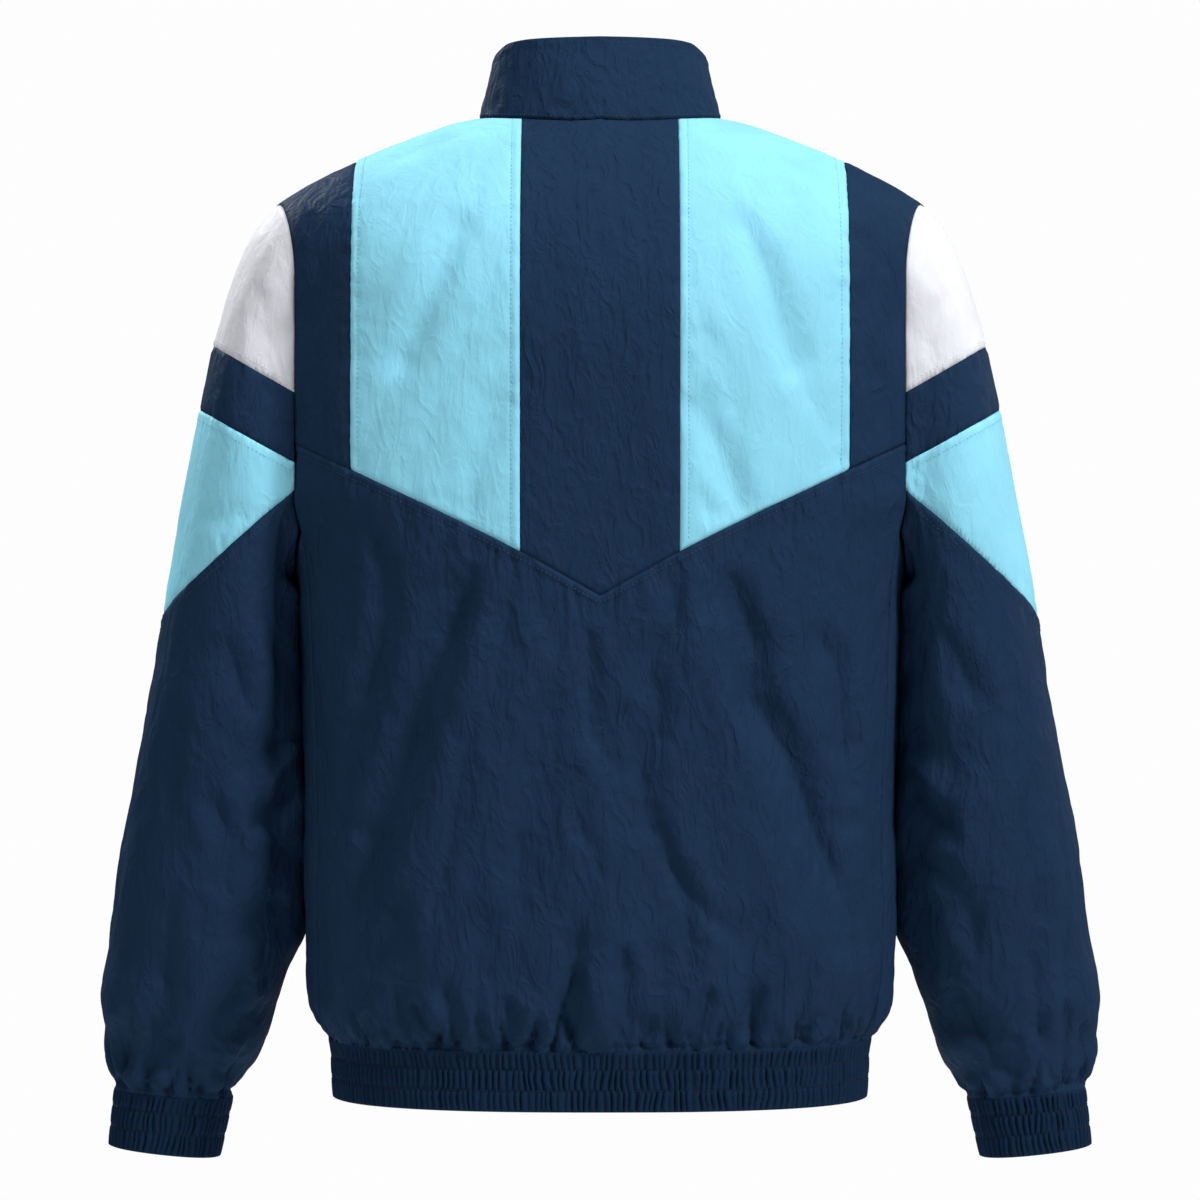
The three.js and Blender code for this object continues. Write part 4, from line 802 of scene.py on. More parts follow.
# The height of a crease at each point: a crisp valley between two soft shoulders, fading out at both ends
def crease_height(points, normals, line, width, depth, seed):
    reach = CREASE_REACH * width
    near = np.all((points > line.min(0) - reach) & (points < line.max(0) + reach), axis=1)
    index = np.flatnonzero(near)
    if not len(index):
        return index, np.zeros(0)
    distance, side, part, whole = place_by_line(points[index], normals[index], line)
    end_fade = np.sqrt(clamp01(part / CREASE_START)) * np.sqrt(clamp01((1 - part) / CREASE_END))
    wobble = 1 + 0.3 * np.sin(part * whole / 23 + seed * 1.7) * np.sin(part * whole / 41 + seed)
    local = width * (0.75 + 0.5 * np.sin(math.pi * part))
    across = distance / local
    trough = np.exp(-((across / TROUGH_WIDTHS) ** 2))
    steep = side * (1 if seed % 3 else -1) > 0
    fine = FINE_LINE * np.exp(-((across / np.where(steep, STEEP_SIDE, GENTLE_SIDE)) ** 1.2))
    strong = 0.5 * np.exp(-(((across - SHOULDER_AT) / 1.7) ** 2))
    weak = 0.2 * np.exp(-(((across - SHOULDER_AT) / 1.9) ** 2))
    shoulder = np.where(side * (1 if seed % 2 else -1) > 0, strong, weak)
    return index, -CREASE_GAIN * depth * end_fade * wobble * (trough + fine - shoulder)


def add_creases(height, points, normals, creases):
    for seed, (line, width, depth) in enumerate(creases):
        index, rise = crease_height(points, normals, line, width, depth, seed)
        height[index] += rise


# Low wrinkles all over, longer up and down than across
def wrinkle_height(points):
    moved = warped(points, *BROAD_SHIFT, 11)
    broad = noise(moved / np.array(BROAD_SIZE), 3)
    crisp = crinkle(moved, CRISP_SIZE, 5) - CRINKLE_MIDDLE
    small = crinkle(warped(points, *SMALL_SHIFT, 23), SMALL_SIZE, 7) - CRINKLE_MIDDLE
    return BROAD_RISE * broad + CRISP_RISE * crisp + SMALL_RISE * small


# Seams

# Rises from a least share at 0 to 1 at the reach
def eased(distance, reach, least):
    return least + (1 - least) * smoothstep(distance, 0, reach)


# How far each point is from the nearest point of a line
def distance_to(points, line):
    tree = KDTree(len(line))
    for i, point in enumerate(line):
        tree.insert(point, i)
    tree.balance()
    return np.array([tree.find(point)[2] for point in points])


# The height across a seam: a groove, and on a topstitched side a ledge up to the stitches, which pull in
def seam_height(distance, stitched=False):
    groove = -GROOVE * np.exp(-((distance / GROOVE_WIDTH) ** 2))
    ledge = LEDGE * smoothstep(distance, 0.3, 1.8)
    ledge = ledge * (1 - smoothstep(distance, TOPSTITCH - 0.6, TOPSTITCH + 1.5))
    pull = -PULL * np.exp(-(((distance - TOPSTITCH) / PULL_WIDTH) ** 2))
    return groove + np.where(stitched, ledge + pull, 0)


# Puckers: short crisp lines that run out from a seam, of a kind named in the table
def pucker_height(points, distance, kind):
    start, reach, amount, seed, cell = PUCKERS[kind]
    distance = distance - start
    cell = np.array(cell, float)
    lines = (1 - np.minimum(np.abs(noise(points / cell, seed)) * 2.8, 1)) ** 1.5
    strong = smoothstep(noise(points / (cell * 2.2), seed + 1), -0.6, 0.5)
    soft = noise(points / (cell * 1.6), seed + 2)
    fade = np.exp(-((distance / reach) ** 2))
    return amount * fade * (0.7 * soft - lines * strong)


# Gathers over a shirred band: u runs round it and rise is the height above its seam
def gather_height(u, rise, length, count, amount, seed):
    places = (np.arange(count) + 0.5) * length / count
    index, draw = np.meshgrid(np.arange(count), np.arange(5), indexing="ij")
    draws = hashed(np.stack([index, draw, np.full_like(index, seed)], -1), 17)
    total = np.zeros_like(u)
    for place, (shift, tall, lean, wide, deep) in zip(places, draws):
        top = GATHER_TALL + GATHER_TALLER * (tall + 1)
        width = GATHER_WIDTH + GATHER_WIDER * wide
        away = u - place - shift * length / count * 0.4 - lean * 0.3 * rise
        away = (away + length / 2) % length - length / 2
        spread = width * (1 + rise / GATHER_SPREAD) * np.where(away * lean > 0, STEEP_SIDE, GENTLE_SIDE)
        fade = (1 - smoothstep(rise, 0.2 * top, top)) * smoothstep(rise, -2, 4)
        total -= amount * (1 + 0.45 * deep) * fade * np.exp(-np.abs(away / spread))
    puff = smoothstep(rise, 0, 9) * (1 - smoothstep(rise, 12, 46))
    return total + GATHER_PUFF * amount * puff


# All the gathers over one band, with a shift of their seeds
def all_gathers(u, rise, length, kinds, shift):
    total = np.zeros_like(u)
    for count, depth, shorter, seed in kinds:
        total += gather_height(u, rise * shorter, length, count, depth, seed + shift)
    return total


# Stitches along a line, each a thin thread that dips into the cloth at both ends
def stitches(line, outward, pitch, length, thickness):
    travelled = travel_along(line)
    starts = np.arange(0, travelled[-1] - length, pitch)
    read = lambda places, values: np.stack([np.interp(places, travelled, values[:, i]) for i in range(3)], -1)
    first = read(starts, line)
    last = read(starts + length, line)
    out = read(starts + length / 2, outward)
    along = (last - first) / np.linalg.norm(last - first, axis=1, keepdims=True)
    out = out - (out * along).sum(1, keepdims=True) * along
    out = out / np.linalg.norm(out, axis=1, keepdims=True)
    side = np.cross(along, out)
    rings = [first - 0.5 * thickness * out]
    for part in (0.2, 0.8):
        middle = lerp(first, last, part) + 0.25 * thickness * out
        for a, b in ((1, 0), (0, 1), (-1, 0), (0, -1)):
            rings.append(middle + thickness / 2 * (a * side + b * out))
    rings.append(last - 0.5 * thickness * out)
    points = np.stack(rings, 1).reshape(-1, 3)
    shape = []
    for i in range(4):
        k = (i + 1) % 4
        shape += [[0, 1 + k, 1 + i], [1 + i, 1 + k, 5 + k, 5 + i], [9, 5 + i, 5 + k]]
    faces = [[10 * stitch + corner for corner in face] for stitch in range(len(starts)) for face in shape]
    return points, faces


def join_thread(name, runs, material):
    points = np.concatenate([run[0] for run in runs])
    faces = []
    first = 0
    for run_points, run_faces in runs:
        faces += [[first + corner for corner in face] for face in run_faces]
        first += len(run_points)
    thread = new_object(name, points, faces, material)
    recalculate_normals(thread)


# Reads a grid of points at real columns and rows
def on_grid(grid, columns, rows):
    columns, rows = np.broadcast_arrays(np.asarray(columns, float), np.asarray(rows, float))
    i = np.clip(np.searchsorted(COLUMNS, columns) - 1, 0, len(COLUMNS) - 2)
    j = np.clip(np.searchsorted(ROWS, rows) - 1, 0, len(ROWS) - 2)
    a = ((columns - COLUMNS[i]) / (COLUMNS[i + 1] - COLUMNS[i]))[:, None]
    b = ((rows - ROWS[j]) / (ROWS[j + 1] - ROWS[j]))[:, None]
    return lerp(lerp(grid[i, j], grid[i + 1, j], a), lerp(grid[i, j + 1], grid[i + 1, j + 1], a), b)


def sew_body(moved, normals, materials):
    sewn = lambda columns, rows: stitches(
        on_grid(moved, columns, rows), on_grid(normals, columns, rows), STITCH_PITCH, STITCH_LENGTH, THREAD
    )
    down = np.linspace(0.05, CHEVRON_ROW - 0.1, 200)
    blue = []
    for sign in (-1, 1):
        for column in (STRIPE_START + STITCH_COLUMNS, STRIPE_END - STITCH_COLUMNS):
            blue.append(sewn(np.full_like(down, sign * column), down))
    across = np.linspace(-ARMHOLE_BACK + 0.1, ARMHOLE_BACK - 0.1, 400)
    navy = [sewn(across, np.full_like(across, CHEVRON_ROW + CHEVRON_STITCH_ROWS))]
    whole = np.linspace(0.05, LAST_ROW - 0.05, 500)
    for sign in (-1, 1):
        navy.append(sewn(np.full_like(whole, sign * (ZIP_COLUMN - ZIP_STITCH_COLUMNS)), whole))
    join_thread("stitches_stripes", blue, materials["light_thread"])
    join_thread("stitches_body", navy, materials["navy_thread"])


# Runs of a line on a sleeve where a value, given on the sleeve's grid, passes through 0
def sleeve_runs(value, moved, normals):
    runs = []
    points, outward = [], []
    count = value.shape[1]
    for i in list(range(count)) + [0]:
        change = np.flatnonzero(value[:-1, i] * value[1:, i] < 0)
        if len(change):
            j = change[-1]
            part = value[j, i] / (value[j, i] - value[j + 1, i])
            points.append(lerp(moved[j, i], moved[j + 1, i], part))
            outward.append(lerp(normals[j, i], normals[j + 1, i], part))
        elif points:
            runs.append((np.array(points), np.array(outward)))
            points, outward = [], []
    if points:
        runs.append((np.array(points), np.array(outward)))
    return [run for run in runs if len(run[0]) > 3]


def sew_sleeve(side, base, moved, normals, shape, materials):
    grid = lambda values: values[: shape[0] * shape[1]].reshape(*shape, *values.shape[1:])
    seams = sleeve_seams(base)
    for name, seam, off, colour in (
        ("cap", "cap", -CAP_STITCH, "white"),
        ("wedge", "band", TOPSTITCH, "light"),
        ("lower", "wedge", TOPSTITCH, "navy"),
    ):
        runs = sleeve_runs(grid(seams[seam]) + off, grid(moved), grid(normals))
        sewn = [stitches(points, outward, STITCH_PITCH, STITCH_LENGTH, THREAD) for points, outward in runs]
        join_thread(f"stitches_{name}_{side}", sewn, materials[f"{colour}_thread"])


# Making objects

def new_object(name, points, faces, material, replaced=(), wall=None):
    mesh = bpy.data.meshes.new(name)
    mesh.from_pydata((np.asarray(points) * MM).tolist(), [], faces)
    mesh.polygons.foreach_set("use_smooth", [True] * len(mesh.polygons))
    mesh.materials.append(material)
    mesh.update()
    obj = bpy.data.objects.new(name, mesh)
    bpy.context.scene.collection.objects.link(obj)
    if wall:
        shell = obj.modifiers.new("wall", "SOLIDIFY")
        shell.thickness = wall * MM
        shell.offset = -1
    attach(obj, BODY)
    if replaced:
        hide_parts(*replaced)
    return obj


def used_only(points, faces):
    used = sorted({i for face in faces for i in face})
    place = {old: new for new, old in enumerate(used)}
    return points[used], [[place[i] for i in face] for face in faces]


def vertex_normals(points, faces):
    mesh = bpy.data.meshes.new("skin")
    mesh.from_pydata(points.tolist(), [], faces)
    mesh.update()
    normals = np.zeros(len(points) * 3)
    mesh.vertices.foreach_get("normal", normals)
    bpy.data.meshes.remove(mesh)
    return normals.reshape(-1, 3)


# Body

# Real positions along columns or rows: even steps, closer together beside a seam
def break_positions(steps, seams):
    positions = [len(steps)]
    for cell, count in enumerate(steps):
        parts = np.arange(count) / count
        if cell in seams:
            parts = np.array(SEAM_BREAKS)
        if cell + 1 in seams:
            parts = 1 - np.array(SEAM_BREAKS)
        positions.extend(cell + parts)
    return np.unique(np.round(positions, 6))


def body_grid():
    steps = [BACK_STEPS] * ARMHOLE_BACK + [FRONT_STEPS] * (ZIP_COLUMN - ARMHOLE_BACK)
    half = break_positions(steps, {STRIPE_START, STRIPE_END})
    columns = np.concatenate([-half[:0:-1], half])
    rows = break_positions([ROW_STEPS] * LAST_ROW, {CHEVRON_ROW})
    return columns, rows


COLUMNS, ROWS = body_grid()


def armhole_row(column):
    edge = ARMHOLE_STEPS[CHEVRON_ROW + 1 : CHEVRON_ROW + 8]
    return np.interp(abs(column), [c for c, _ in edge], [r for _, r in edge], left=-1, right=-1)


def panel_of(column, row):
    side = "left" if column > 0 else "right"
    column = abs(column)
    if column > SIDE_SEAM:
        return f"front_{side}"
    if row > CHEVRON_ROW:
        return "back_lower"
    if column < STRIPE_START:
        return "back_centre"
    return f"back_stripe_{side}" if column < STRIPE_END else f"back_side_{side}"


def body_faces():
    row_index = {round(float(row), 6): j for j, row in enumerate(ROWS)}
    count = len(ROWS)
    panels = {}
    for i in range(len(COLUMNS) - 1):
        left, right = COLUMNS[i], COLUMNS[i + 1]
        middle = (left + right) / 2
        first = 0
        if ARMHOLE_BACK < abs(middle) < ARMHOLE_FRONT:
            one = row_index[round(float(armhole_row(left)), 6)]
            two = row_index[round(float(armhole_row(right)), 6)]
            first = max(one, two)
            if two > one:
                corner = [i * count + j for j in range(one, two + 1)] + [(i + 1) * count + two]
            else:
                corner = [(i + 1) * count + j for j in range(one, two - 1, -1)] + [i * count + one]
            panels.setdefault(panel_of(middle, ROWS[first]), []).append(corner[::-1])
        for j in range(first, count - 1):
            face = [i * count + j, (i + 1) * count + j, (i + 1) * count + j + 1, i * count + j + 1]
            panels.setdefault(panel_of(middle, (ROWS[j] + ROWS[j + 1]) / 2), []).append(face)
    return panels


def seam_lines():
    fine = lambda low, high: np.linspace(low, high, int(abs(high - low) * 30) + 2)
    stripe = {}
    for sign in (-1, 1):
        for column in (STRIPE_START, STRIPE_END):
            stripe[sign * column] = body_surface(sign * column, fine(0, CHEVRON_ROW))
    chevron = body_surface(fine(-ARMHOLE_BACK, ARMHOLE_BACK), CHEVRON_ROW)
    side = [body_surface(sign * SIDE_SEAM, fine(10, LAST_ROW)) for sign in (-1, 1)]
    armhole = armhole_point(fine(0, len(ARMHOLE_STEPS) - 1))
    mirrored = armhole * np.array([-1, 1, 1])
    shoulder = [body_surface(sign * fine(NECK_COLUMN, ARMHOLE_BACK), 0) for sign in (-1, 1)]
    neck = body_surface(fine(-NECK_COLUMN, NECK_COLUMN), 0)
    front_neck = [body_surface(sign * fine(FRONT_NECK_COLUMN, ZIP_COLUMN), 0) for sign in (-1, 1)]
    return dict(
        stripe=np.concatenate(list(stripe.values())),
        chevron=chevron,
        side=np.concatenate(side),
        armhole=np.concatenate([armhole, mirrored]),
        shoulder=np.concatenate(shoulder),
        neck=np.concatenate([neck, *front_neck]),
    )


# Distance round the hem from the centre back, by column
def body_arc(grid):
    u = travel_along(grid[:, -1])
    return u - np.interp(0, COLUMNS, u)


def build_body(materials):
    grid = body_surface(COLUMNS[:, None], ROWS[None, :])
    points = grid.reshape(-1, 3)
    panels = body_faces()
    normals = vertex_normals(points, [face for faces in panels.values() for face in faces])
    columns = np.repeat(COLUMNS, len(ROWS))
    rows = np.tile(ROWS, len(COLUMNS))
    height = wrinkle_height(points)
    add_creases(height, points, normals, body_creases(points, normals))
    u = np.repeat(body_arc(grid), len(ROWS))
    around = u.max() - u.min()
    rise = points[:, 2] - HEM_TOP
    height *= 1 - YOKE_CALM * (1 - smoothstep(rows, CHEVRON_ROW - 1, CHEVRON_ROW + 1))
    height += all_gathers(u, rise, around + ZIP_WIDTH, HEM_GATHERS, 0)
    height *= eased(rise, BAND_FADE, BAND_SHARE)
    height = add_body_seams(height, points, columns, rows)
    height *= OPEN_SHARE + (1 - OPEN_SHARE) * smoothstep(ZIP_COLUMN - np.abs(columns), *ZIP_FADE_COLUMNS)
    height *= OPEN_SHARE + (1 - OPEN_SHARE) * smoothstep(rows, *TOP_FADE_ROWS)
    moved = points + normals * height[:, None]
    for name, faces in panels.items():
        shell_piece(name, moved, faces, materials)
    sew_body(moved.reshape(grid.shape), normals.reshape(grid.shape), materials)


def body_creases(points, normals):
    creases = list(BODY_CREASES)
    for facing, x, top, to_x, width, depth in HEM_CREASES:
        middle = ((x + to_x) / 2, (top + HEM_CREASE_BEND) / 2)
        creases.append((facing, width, depth, [(x, top), middle, (to_x, HEM_CREASE_FOOT)]))
    return [
        (lift_line(smooth_line(line), facing, points, normals), width, depth)
        for facing, width, depth, line in creases
    ]


# Eases the relief towards the seams, then adds the seams themselves and their puckers
def add_body_seams(height, points, columns, rows):
    blue = (np.abs(columns) > STRIPE_START) & (np.abs(columns) < STRIPE_END) & (rows < CHEVRON_ROW)
    low = rows > CHEVRON_ROW
    seams = {name: distance_to(points, line) for name, line in seam_lines().items()}
    fade = np.ones(len(points))
    for name, reach in EDGE_FADES.items():
        fade *= eased(seams[name], reach, EDGE_SHARE)
        height += seam_height(seams[name])
        height += pucker_height(points, seams[name], "edge")
    stripe, chevron, side = seams["stripe"], seams["chevron"], seams["side"]
    fade *= eased(np.minimum(stripe, chevron), SEAM_FADE, SEAM_SHARE)
    height = height * fade
    height += seam_height(stripe, blue)
    height += seam_height(chevron, low)
    height += seam_height(side)
    height += pucker_height(points, stripe, "stripe")
    height += np.where(low, 1, 0.3) * pucker_height(points, chevron, "chevron")
    height += pucker_height(points, side, "side")
    return height


# One piece of shell cloth, named after the node that it takes the place of
def shell_piece(name, points, faces, materials):
    kind = name.removesuffix("_left").removesuffix("_right")
    colour = PIECE_COLOURS.get(kind, "navy")
    kept, kept_faces = used_only(points, faces)
    piece = new_object(f"cloth_{name}", kept, kept_faces, materials[colour], [name], WALL)


# Sleeves

def line_side(points, line):
    (x0, z0), (x1, z1) = line
    length = math.hypot(x1 - x0, z1 - z0)
    return ((points[:, 2] - z0) * (x1 - x0) - (points[:, 0] - x0) * (z1 - z0)) / length


# How far above each seam of a sleeve its points lie
def sleeve_seams(points):
    return {
        "cap": line_side(points, CAP_SEAM),
        "band": line_side(points, BAND_SEAM),
        "wedge": np.maximum(line_side(points, WEDGE_UPPER), line_side(points, WEDGE_LOWER)),
    }


def sleeve_mesh():
    steps = np.arange((len(ARMHOLE_STEPS) - 1) * SLEEVE_STEPS) / SLEEVE_STEPS
    stations = np.arange(int(CUFF_AT * ROW_STEPS) + 1) / ROW_STEPS
    rows = sleeve_rows(stations, steps)
    count = len(steps)
    points = rows.reshape(-1, 3)
    faces = []
    for j in range(len(stations) - 1):
        for i in range(count):
            k = (i + 1) % count
            faces.append([j * count + i, (j + 1) * count + i, (j + 1) * count + k, j * count + k])
    return points, faces, rows.shape[:2]


# Cuts a mesh along planes that run front to back through the seam lines, and returns it whole.
def cut_along_seams(points, faces):
    mesh = bmesh.new()
    verts = [mesh.verts.new(point) for point in points]
    for face in faces:
        mesh.faces.new([verts[i] for i in face])
    for line in (CAP_SEAM, BAND_SEAM, WEDGE_UPPER, WEDGE_LOWER):
        (x0, z0), (x1, z1) = line
        normal = Vector((-(z1 - z0), 0, x1 - x0)).normalized()
        geometry = mesh.verts[:] + mesh.edges[:] + mesh.faces[:]
        bmesh.ops.bisect_plane(mesh, geom=geometry, dist=SEAM_SNAP, plane_co=(x0, 0, z0), plane_no=normal)
    mesh.verts.index_update()
    points = np.array([vert.co[:] for vert in mesh.verts])
    faces = [[vert.index for vert in face.verts] for face in mesh.faces]
    mesh.free()
    return points, faces


def sleeve_piece_of(centre):
    piece = np.full(len(centre), "lower", dtype=object)
    above = sleeve_seams(centre)
    for name in ("wedge", "band", "cap"):
        piece[above[name] > 0] = name
    return piece


# Moves the inner side of the left sleeve in to the side of the body, which it hangs against
def rest_on_body(points):
    x, y, z = points.T
    depth = read_table(RING_Z, RING_DEPTH, z)
    across = clamp01(1 - np.minimum(np.abs(y) / depth, 1) ** RING_POWER_Y) ** (1 / RING_POWER_X)
    gap = x - read_table(RING_Z, RING_WIDTH, z) * across
    near = 1 - smoothstep(gap, REST_FULL, REST_NONE)
    near *= smoothstep(z, REST_FOOT - REST_FOOT_FADE, REST_FOOT)
    near *= 1 - smoothstep(z, REST_HEAD, REST_HEAD + REST_HEAD_FADE)
    moved = points.copy()
    moved[:, 0] -= near * np.maximum(gap + REST_PRESS, 0)
    return moved


def build_sleeves(materials):
    whole, whole_faces, shape = sleeve_mesh()
    base, faces = cut_along_seams(rest_on_body(whole), whole_faces)
    centres = np.array([base[face].mean(0) for face in faces])
    owner = sleeve_piece_of(centres)
    armhole = distance_to(base, armhole_point(np.linspace(0, len(ARMHOLE_STEPS) - 1, 800)))
    centre, along, away, reach, depth = section_at(np.array(CUFF_AT))
    from_cuff = base - centre
    above = np.abs(from_cuff @ away)
    below_wrist = base[:, 2] < WRIST_TOP
    u = np.degrees(np.arctan2(from_cuff[:, 1], from_cuff @ along)) % 360
    for side, sign in (("left", 1), ("right", -1)):
        flip = np.array([sign, 1, 1])
        points = base * flip
        turned = faces if sign > 0 else [face[::-1] for face in faces]
        normals = vertex_normals(points, turned)
        if np.einsum("ij,ij->i", normals, points - points.mean(0)).mean() < 0:
            turned = [face[::-1] for face in turned]
            normals = -normals
        height = wrinkle_height(points)
        add_creases(height, points, normals, sleeve_creases(sign, points, normals))
        height *= 1 - SLEEVE_CALM * smoothstep(points[:, 2], *SLEEVE_CALM_HEIGHTS)
        gathers = all_gathers(u * CUFF_ROUND / 360, above, CUFF_ROUND, CUFF_GATHERS, sign)
        height += np.where(below_wrist, gathers, 0)
        height *= eased(armhole, EDGE_FADES["armhole"], EDGE_SHARE)
        height *= eased(above, BAND_FADE, BAND_SHARE)
        height += seam_height(armhole)
        height += pucker_height(points, armhole, "armhole")
        for name, distance in sleeve_seams(base).items():
            height += seam_height(np.abs(distance), distance * STITCHED_SIDE[name] > 0)
            height += pucker_height(points, np.abs(distance), "sleeve")
        moved = points + normals * height[:, None]
        for name in ("cap", "band", "wedge", "lower"):
            own = [face for face, piece in zip(turned, owner) if piece == name]
            shell_piece(f"sleeve_{name}_{side}", moved, own, materials)
        sew_sleeve(side, base, moved, normals, shape, materials)


def sleeve_creases(sign, points, normals):
    return [
        (lift_line(smooth_line(np.array(line, float) * (sign, 1)), facing, points, normals), width, depth)
        for crease_sign, facing, width, depth, line in SLEEVE_CREASES
        if crease_sign == sign
    ]


# Collar

# The foot of the collar round the neck, with the way out and the height of the top edge at each point
def collar_foot():
    neck_runs = [np.arange(first, last, COLLAR_COLUMN_STEP) for first, last in NECK_RUNS]
    half = np.concatenate([*neck_runs, [ZIP_COLUMN]])
    columns = np.concatenate([-half[:0:-1], half])
    base = body_surface(columns, 0)
    neck_depth = np.where(base[:, 1] > 0, NECK_BACK, NECK_FRONT)
    near_zip = np.abs(base[:, 0]) < ZIP_EDGE + 1
    outward = np.stack([
        np.where(near_zip, 0, base[:, 0] / NECK_HALF_WIDTH**2),
        base[:, 1] / neck_depth**2,
        np.zeros(len(base)),
    ], -1)
    outward /= np.linalg.norm(outward, axis=1, keepdims=True)
    turn = np.degrees(np.arctan2(np.abs(base[:, 0]) / NECK_HALF_WIDTH, base[:, 1] / neck_depth))
    return base, outward, read_table(COLLAR_TURN, COLLAR_TOP, turn)


# The collar's section, up its outer side, over the fold and down its inner side, each point given as
# part of the height, lift and distance inwards
def collar_section():
    fold = COLLAR_WALL / 2
    section = [(part, 0.0, 0.0) for part in np.linspace(0, 1, COLLAR_OUTER_ROWS)]
    for angle in np.linspace(0, math.pi, COLLAR_FOLD_ROWS)[1:-1]:
        section.append((1, fold * math.sin(angle), fold * (1 - math.cos(angle))))
    section += [(part, 0.0, COLLAR_WALL) for part in np.linspace(1, 0, COLLAR_INNER_ROWS)]
    return section


def build_collar(materials):
    base, outward, top = collar_foot()

    def row_at(part, lift, inward):
        rise = (top - base[:, 2]) * part
        point = base - outward * (COLLAR_LEAN * rise)[:, None]
        point[:, 2] = base[:, 2] + rise + lift
        below_top = (top - base[:, 2]) * (1 - part)
        bulge = COLLAR_BROAD_RISE * noise(point / np.array(COLLAR_BROAD_SIZE), 91) * (0.3 + 0.7 * part)
        crisp = COLLAR_CRISP_RISE * (crinkle(point, COLLAR_CRISP_SIZE, 93) - CRINKLE_MIDDLE)
        bulge += crisp * smoothstep(below_top, 0, 8)
        bulge += seam_height(below_top, True) * (inward == 0) * smoothstep(below_top, 0, 1)
        bulge += seam_height(rise) * (inward == 0)
        bulge += pucker_height(point, below_top, "collar_top")
        bulge += pucker_height(point, rise, "collar_foot")
        inner = smoothstep(np.full(len(base), inward), 0.1, COLLAR_WALL)
        return point + outward * (bulge * (1 - 0.5 * inner) - inward)[:, None]

    rows = [row_at(*place) for place in collar_section()]
    height = top - base[:, 2]
    thread = []
    for part in (1 - TOPSTITCH / height, COLLAR_FOOT_STITCH / height):
        line = row_at(part, 0.0, 0.0)
        thread.append(stitches(line, outward, STITCH_PITCH, STITCH_LENGTH, THREAD))
    join_thread("stitches_collar", thread, materials["navy_thread"])
    faces = tube_faces(len(rows), len(base), False)
    points = np.concatenate(rows)
    collar = new_object("cloth_collar", points, faces, materials["navy"], ["collar"])
    recalculate_normals(collar)


# Faces between rows of points, the last row joined to the first. Rows that aren't closed get end faces.
def tube_faces(rows, width, closed):
    faces = []
    for j in range(rows):
        k = (j + 1) % rows
        for i in range(width if closed else width - 1):
            n = (i + 1) % width
            faces.append([j * width + i, j * width + n, k * width + n, k * width + i])
    if not closed:
        faces.append([j * width for j in range(rows)])
        faces.append([j * width + width - 1 for j in reversed(range(rows))])
    return faces


def shade_flat(obj):
    obj.data.polygons.foreach_set("use_smooth", [False] * len(obj.data.polygons))


def recalculate_normals(obj):
    mesh = bmesh.new()
    mesh.from_mesh(obj.data)
    bmesh.ops.recalc_face_normals(mesh, faces=mesh.faces)
    mesh.to_mesh(obj.data)
    mesh.free()


# Shirred bands

def band_ring(frame_at, angles, out):
    centre, along, across, half, depth, power_a, power_b = frame_at
    a = signed_power(np.cos(angles), power_a)
    b = signed_power(np.sin(angles), power_b)
    return centre + along * (a * (half + out))[:, None] + across * (b * (depth + out))[:, None]


def hem_frame(part):
    z = lerp(HEM_TOP - SHIRRED_GAP, HEM_BOTTOM, part)
    half = float(read_table(RING_Z, RING_DEPTH, z))
    depth = float(read_table(RING_Z, RING_WIDTH, z))
    up, across = np.array([0.0, 1.0, 0.0]), np.array([1.0, 0.0, 0.0])
    return np.array([0.0, 0.0, z]), up, across, half, depth, 2 / RING_POWER_Y, 2 / RING_POWER_X


def cuff_frame(part):
    row = {name: lerp(CUFF_TOP[name], CUFF_BOTTOM[name], part) for name in CUFF_TOP}
    outer = np.array([row["out_x"], row["middle"], row["out_z"]], float)
    inner = np.array([row["in_x"], row["middle"], row["in_z"]], float)
    centre, along, away, half, depth = section_between(outer, inner, row["depth"])
    centre = centre + np.array([0, 0, -CUFF_GAP * (1 - part)])
    return centre, along, np.array([0.0, 1.0, 0.0]), float(half[0]), depth, 2 / SLEEVE_POWER, 2 / SLEEVE_POWER


def even_angles(frame_at, start, end, count):
    fine = np.linspace(start, end, count * 4)
    ring = band_ring(frame_at, fine, 0.0)
    lengths = travel_along(ring)
    return np.interp(np.linspace(0, lengths[-1], count + 1), lengths, fine)


# How far the gathers stand out at a part of the height: three channels between two rows of stitches
def rib_profile(phase, part, seed, ribs):
    edges = [0.0, *STITCH_PARTS, 1.0]
    channel = sum(part > edge for edge in STITCH_PARTS)
    low, high = edges[channel], edges[channel + 1]
    inside = (part - low) / (high - low)
    puff = math.sin(math.pi * min(max(inside, 0), 1)) ** 0.6
    spread = np.stack([phase / 2.1, np.full_like(phase, 7.3 * channel), np.full_like(phase, part)], -1)
    phase = phase + 0.5 * noise(spread, seed) + 0.3 * channel
    index = np.round(phase).astype(int) % ribs
    keys = np.stack([index, np.full_like(index, channel), np.full_like(index, seed)], -1)
    strength = 1 + RIB_UNEVEN * hashed(keys, 5)
    from_valley = np.abs(phase - np.round(phase))
    valley = np.exp(-((from_valley / RIB_VALLEY) ** 2))
    stitch = min(abs(part - edge) for edge in STITCH_PARTS)
    sewn = math.exp(-((stitch / RIB_SEWN_PART) ** 2))
    deep = (0.45 + 0.55 * puff) * RIB_HEIGHT * strength * valley
    return RIB_STAND - deep + RIB_PUFF * puff - RIB_SEWN * sewn


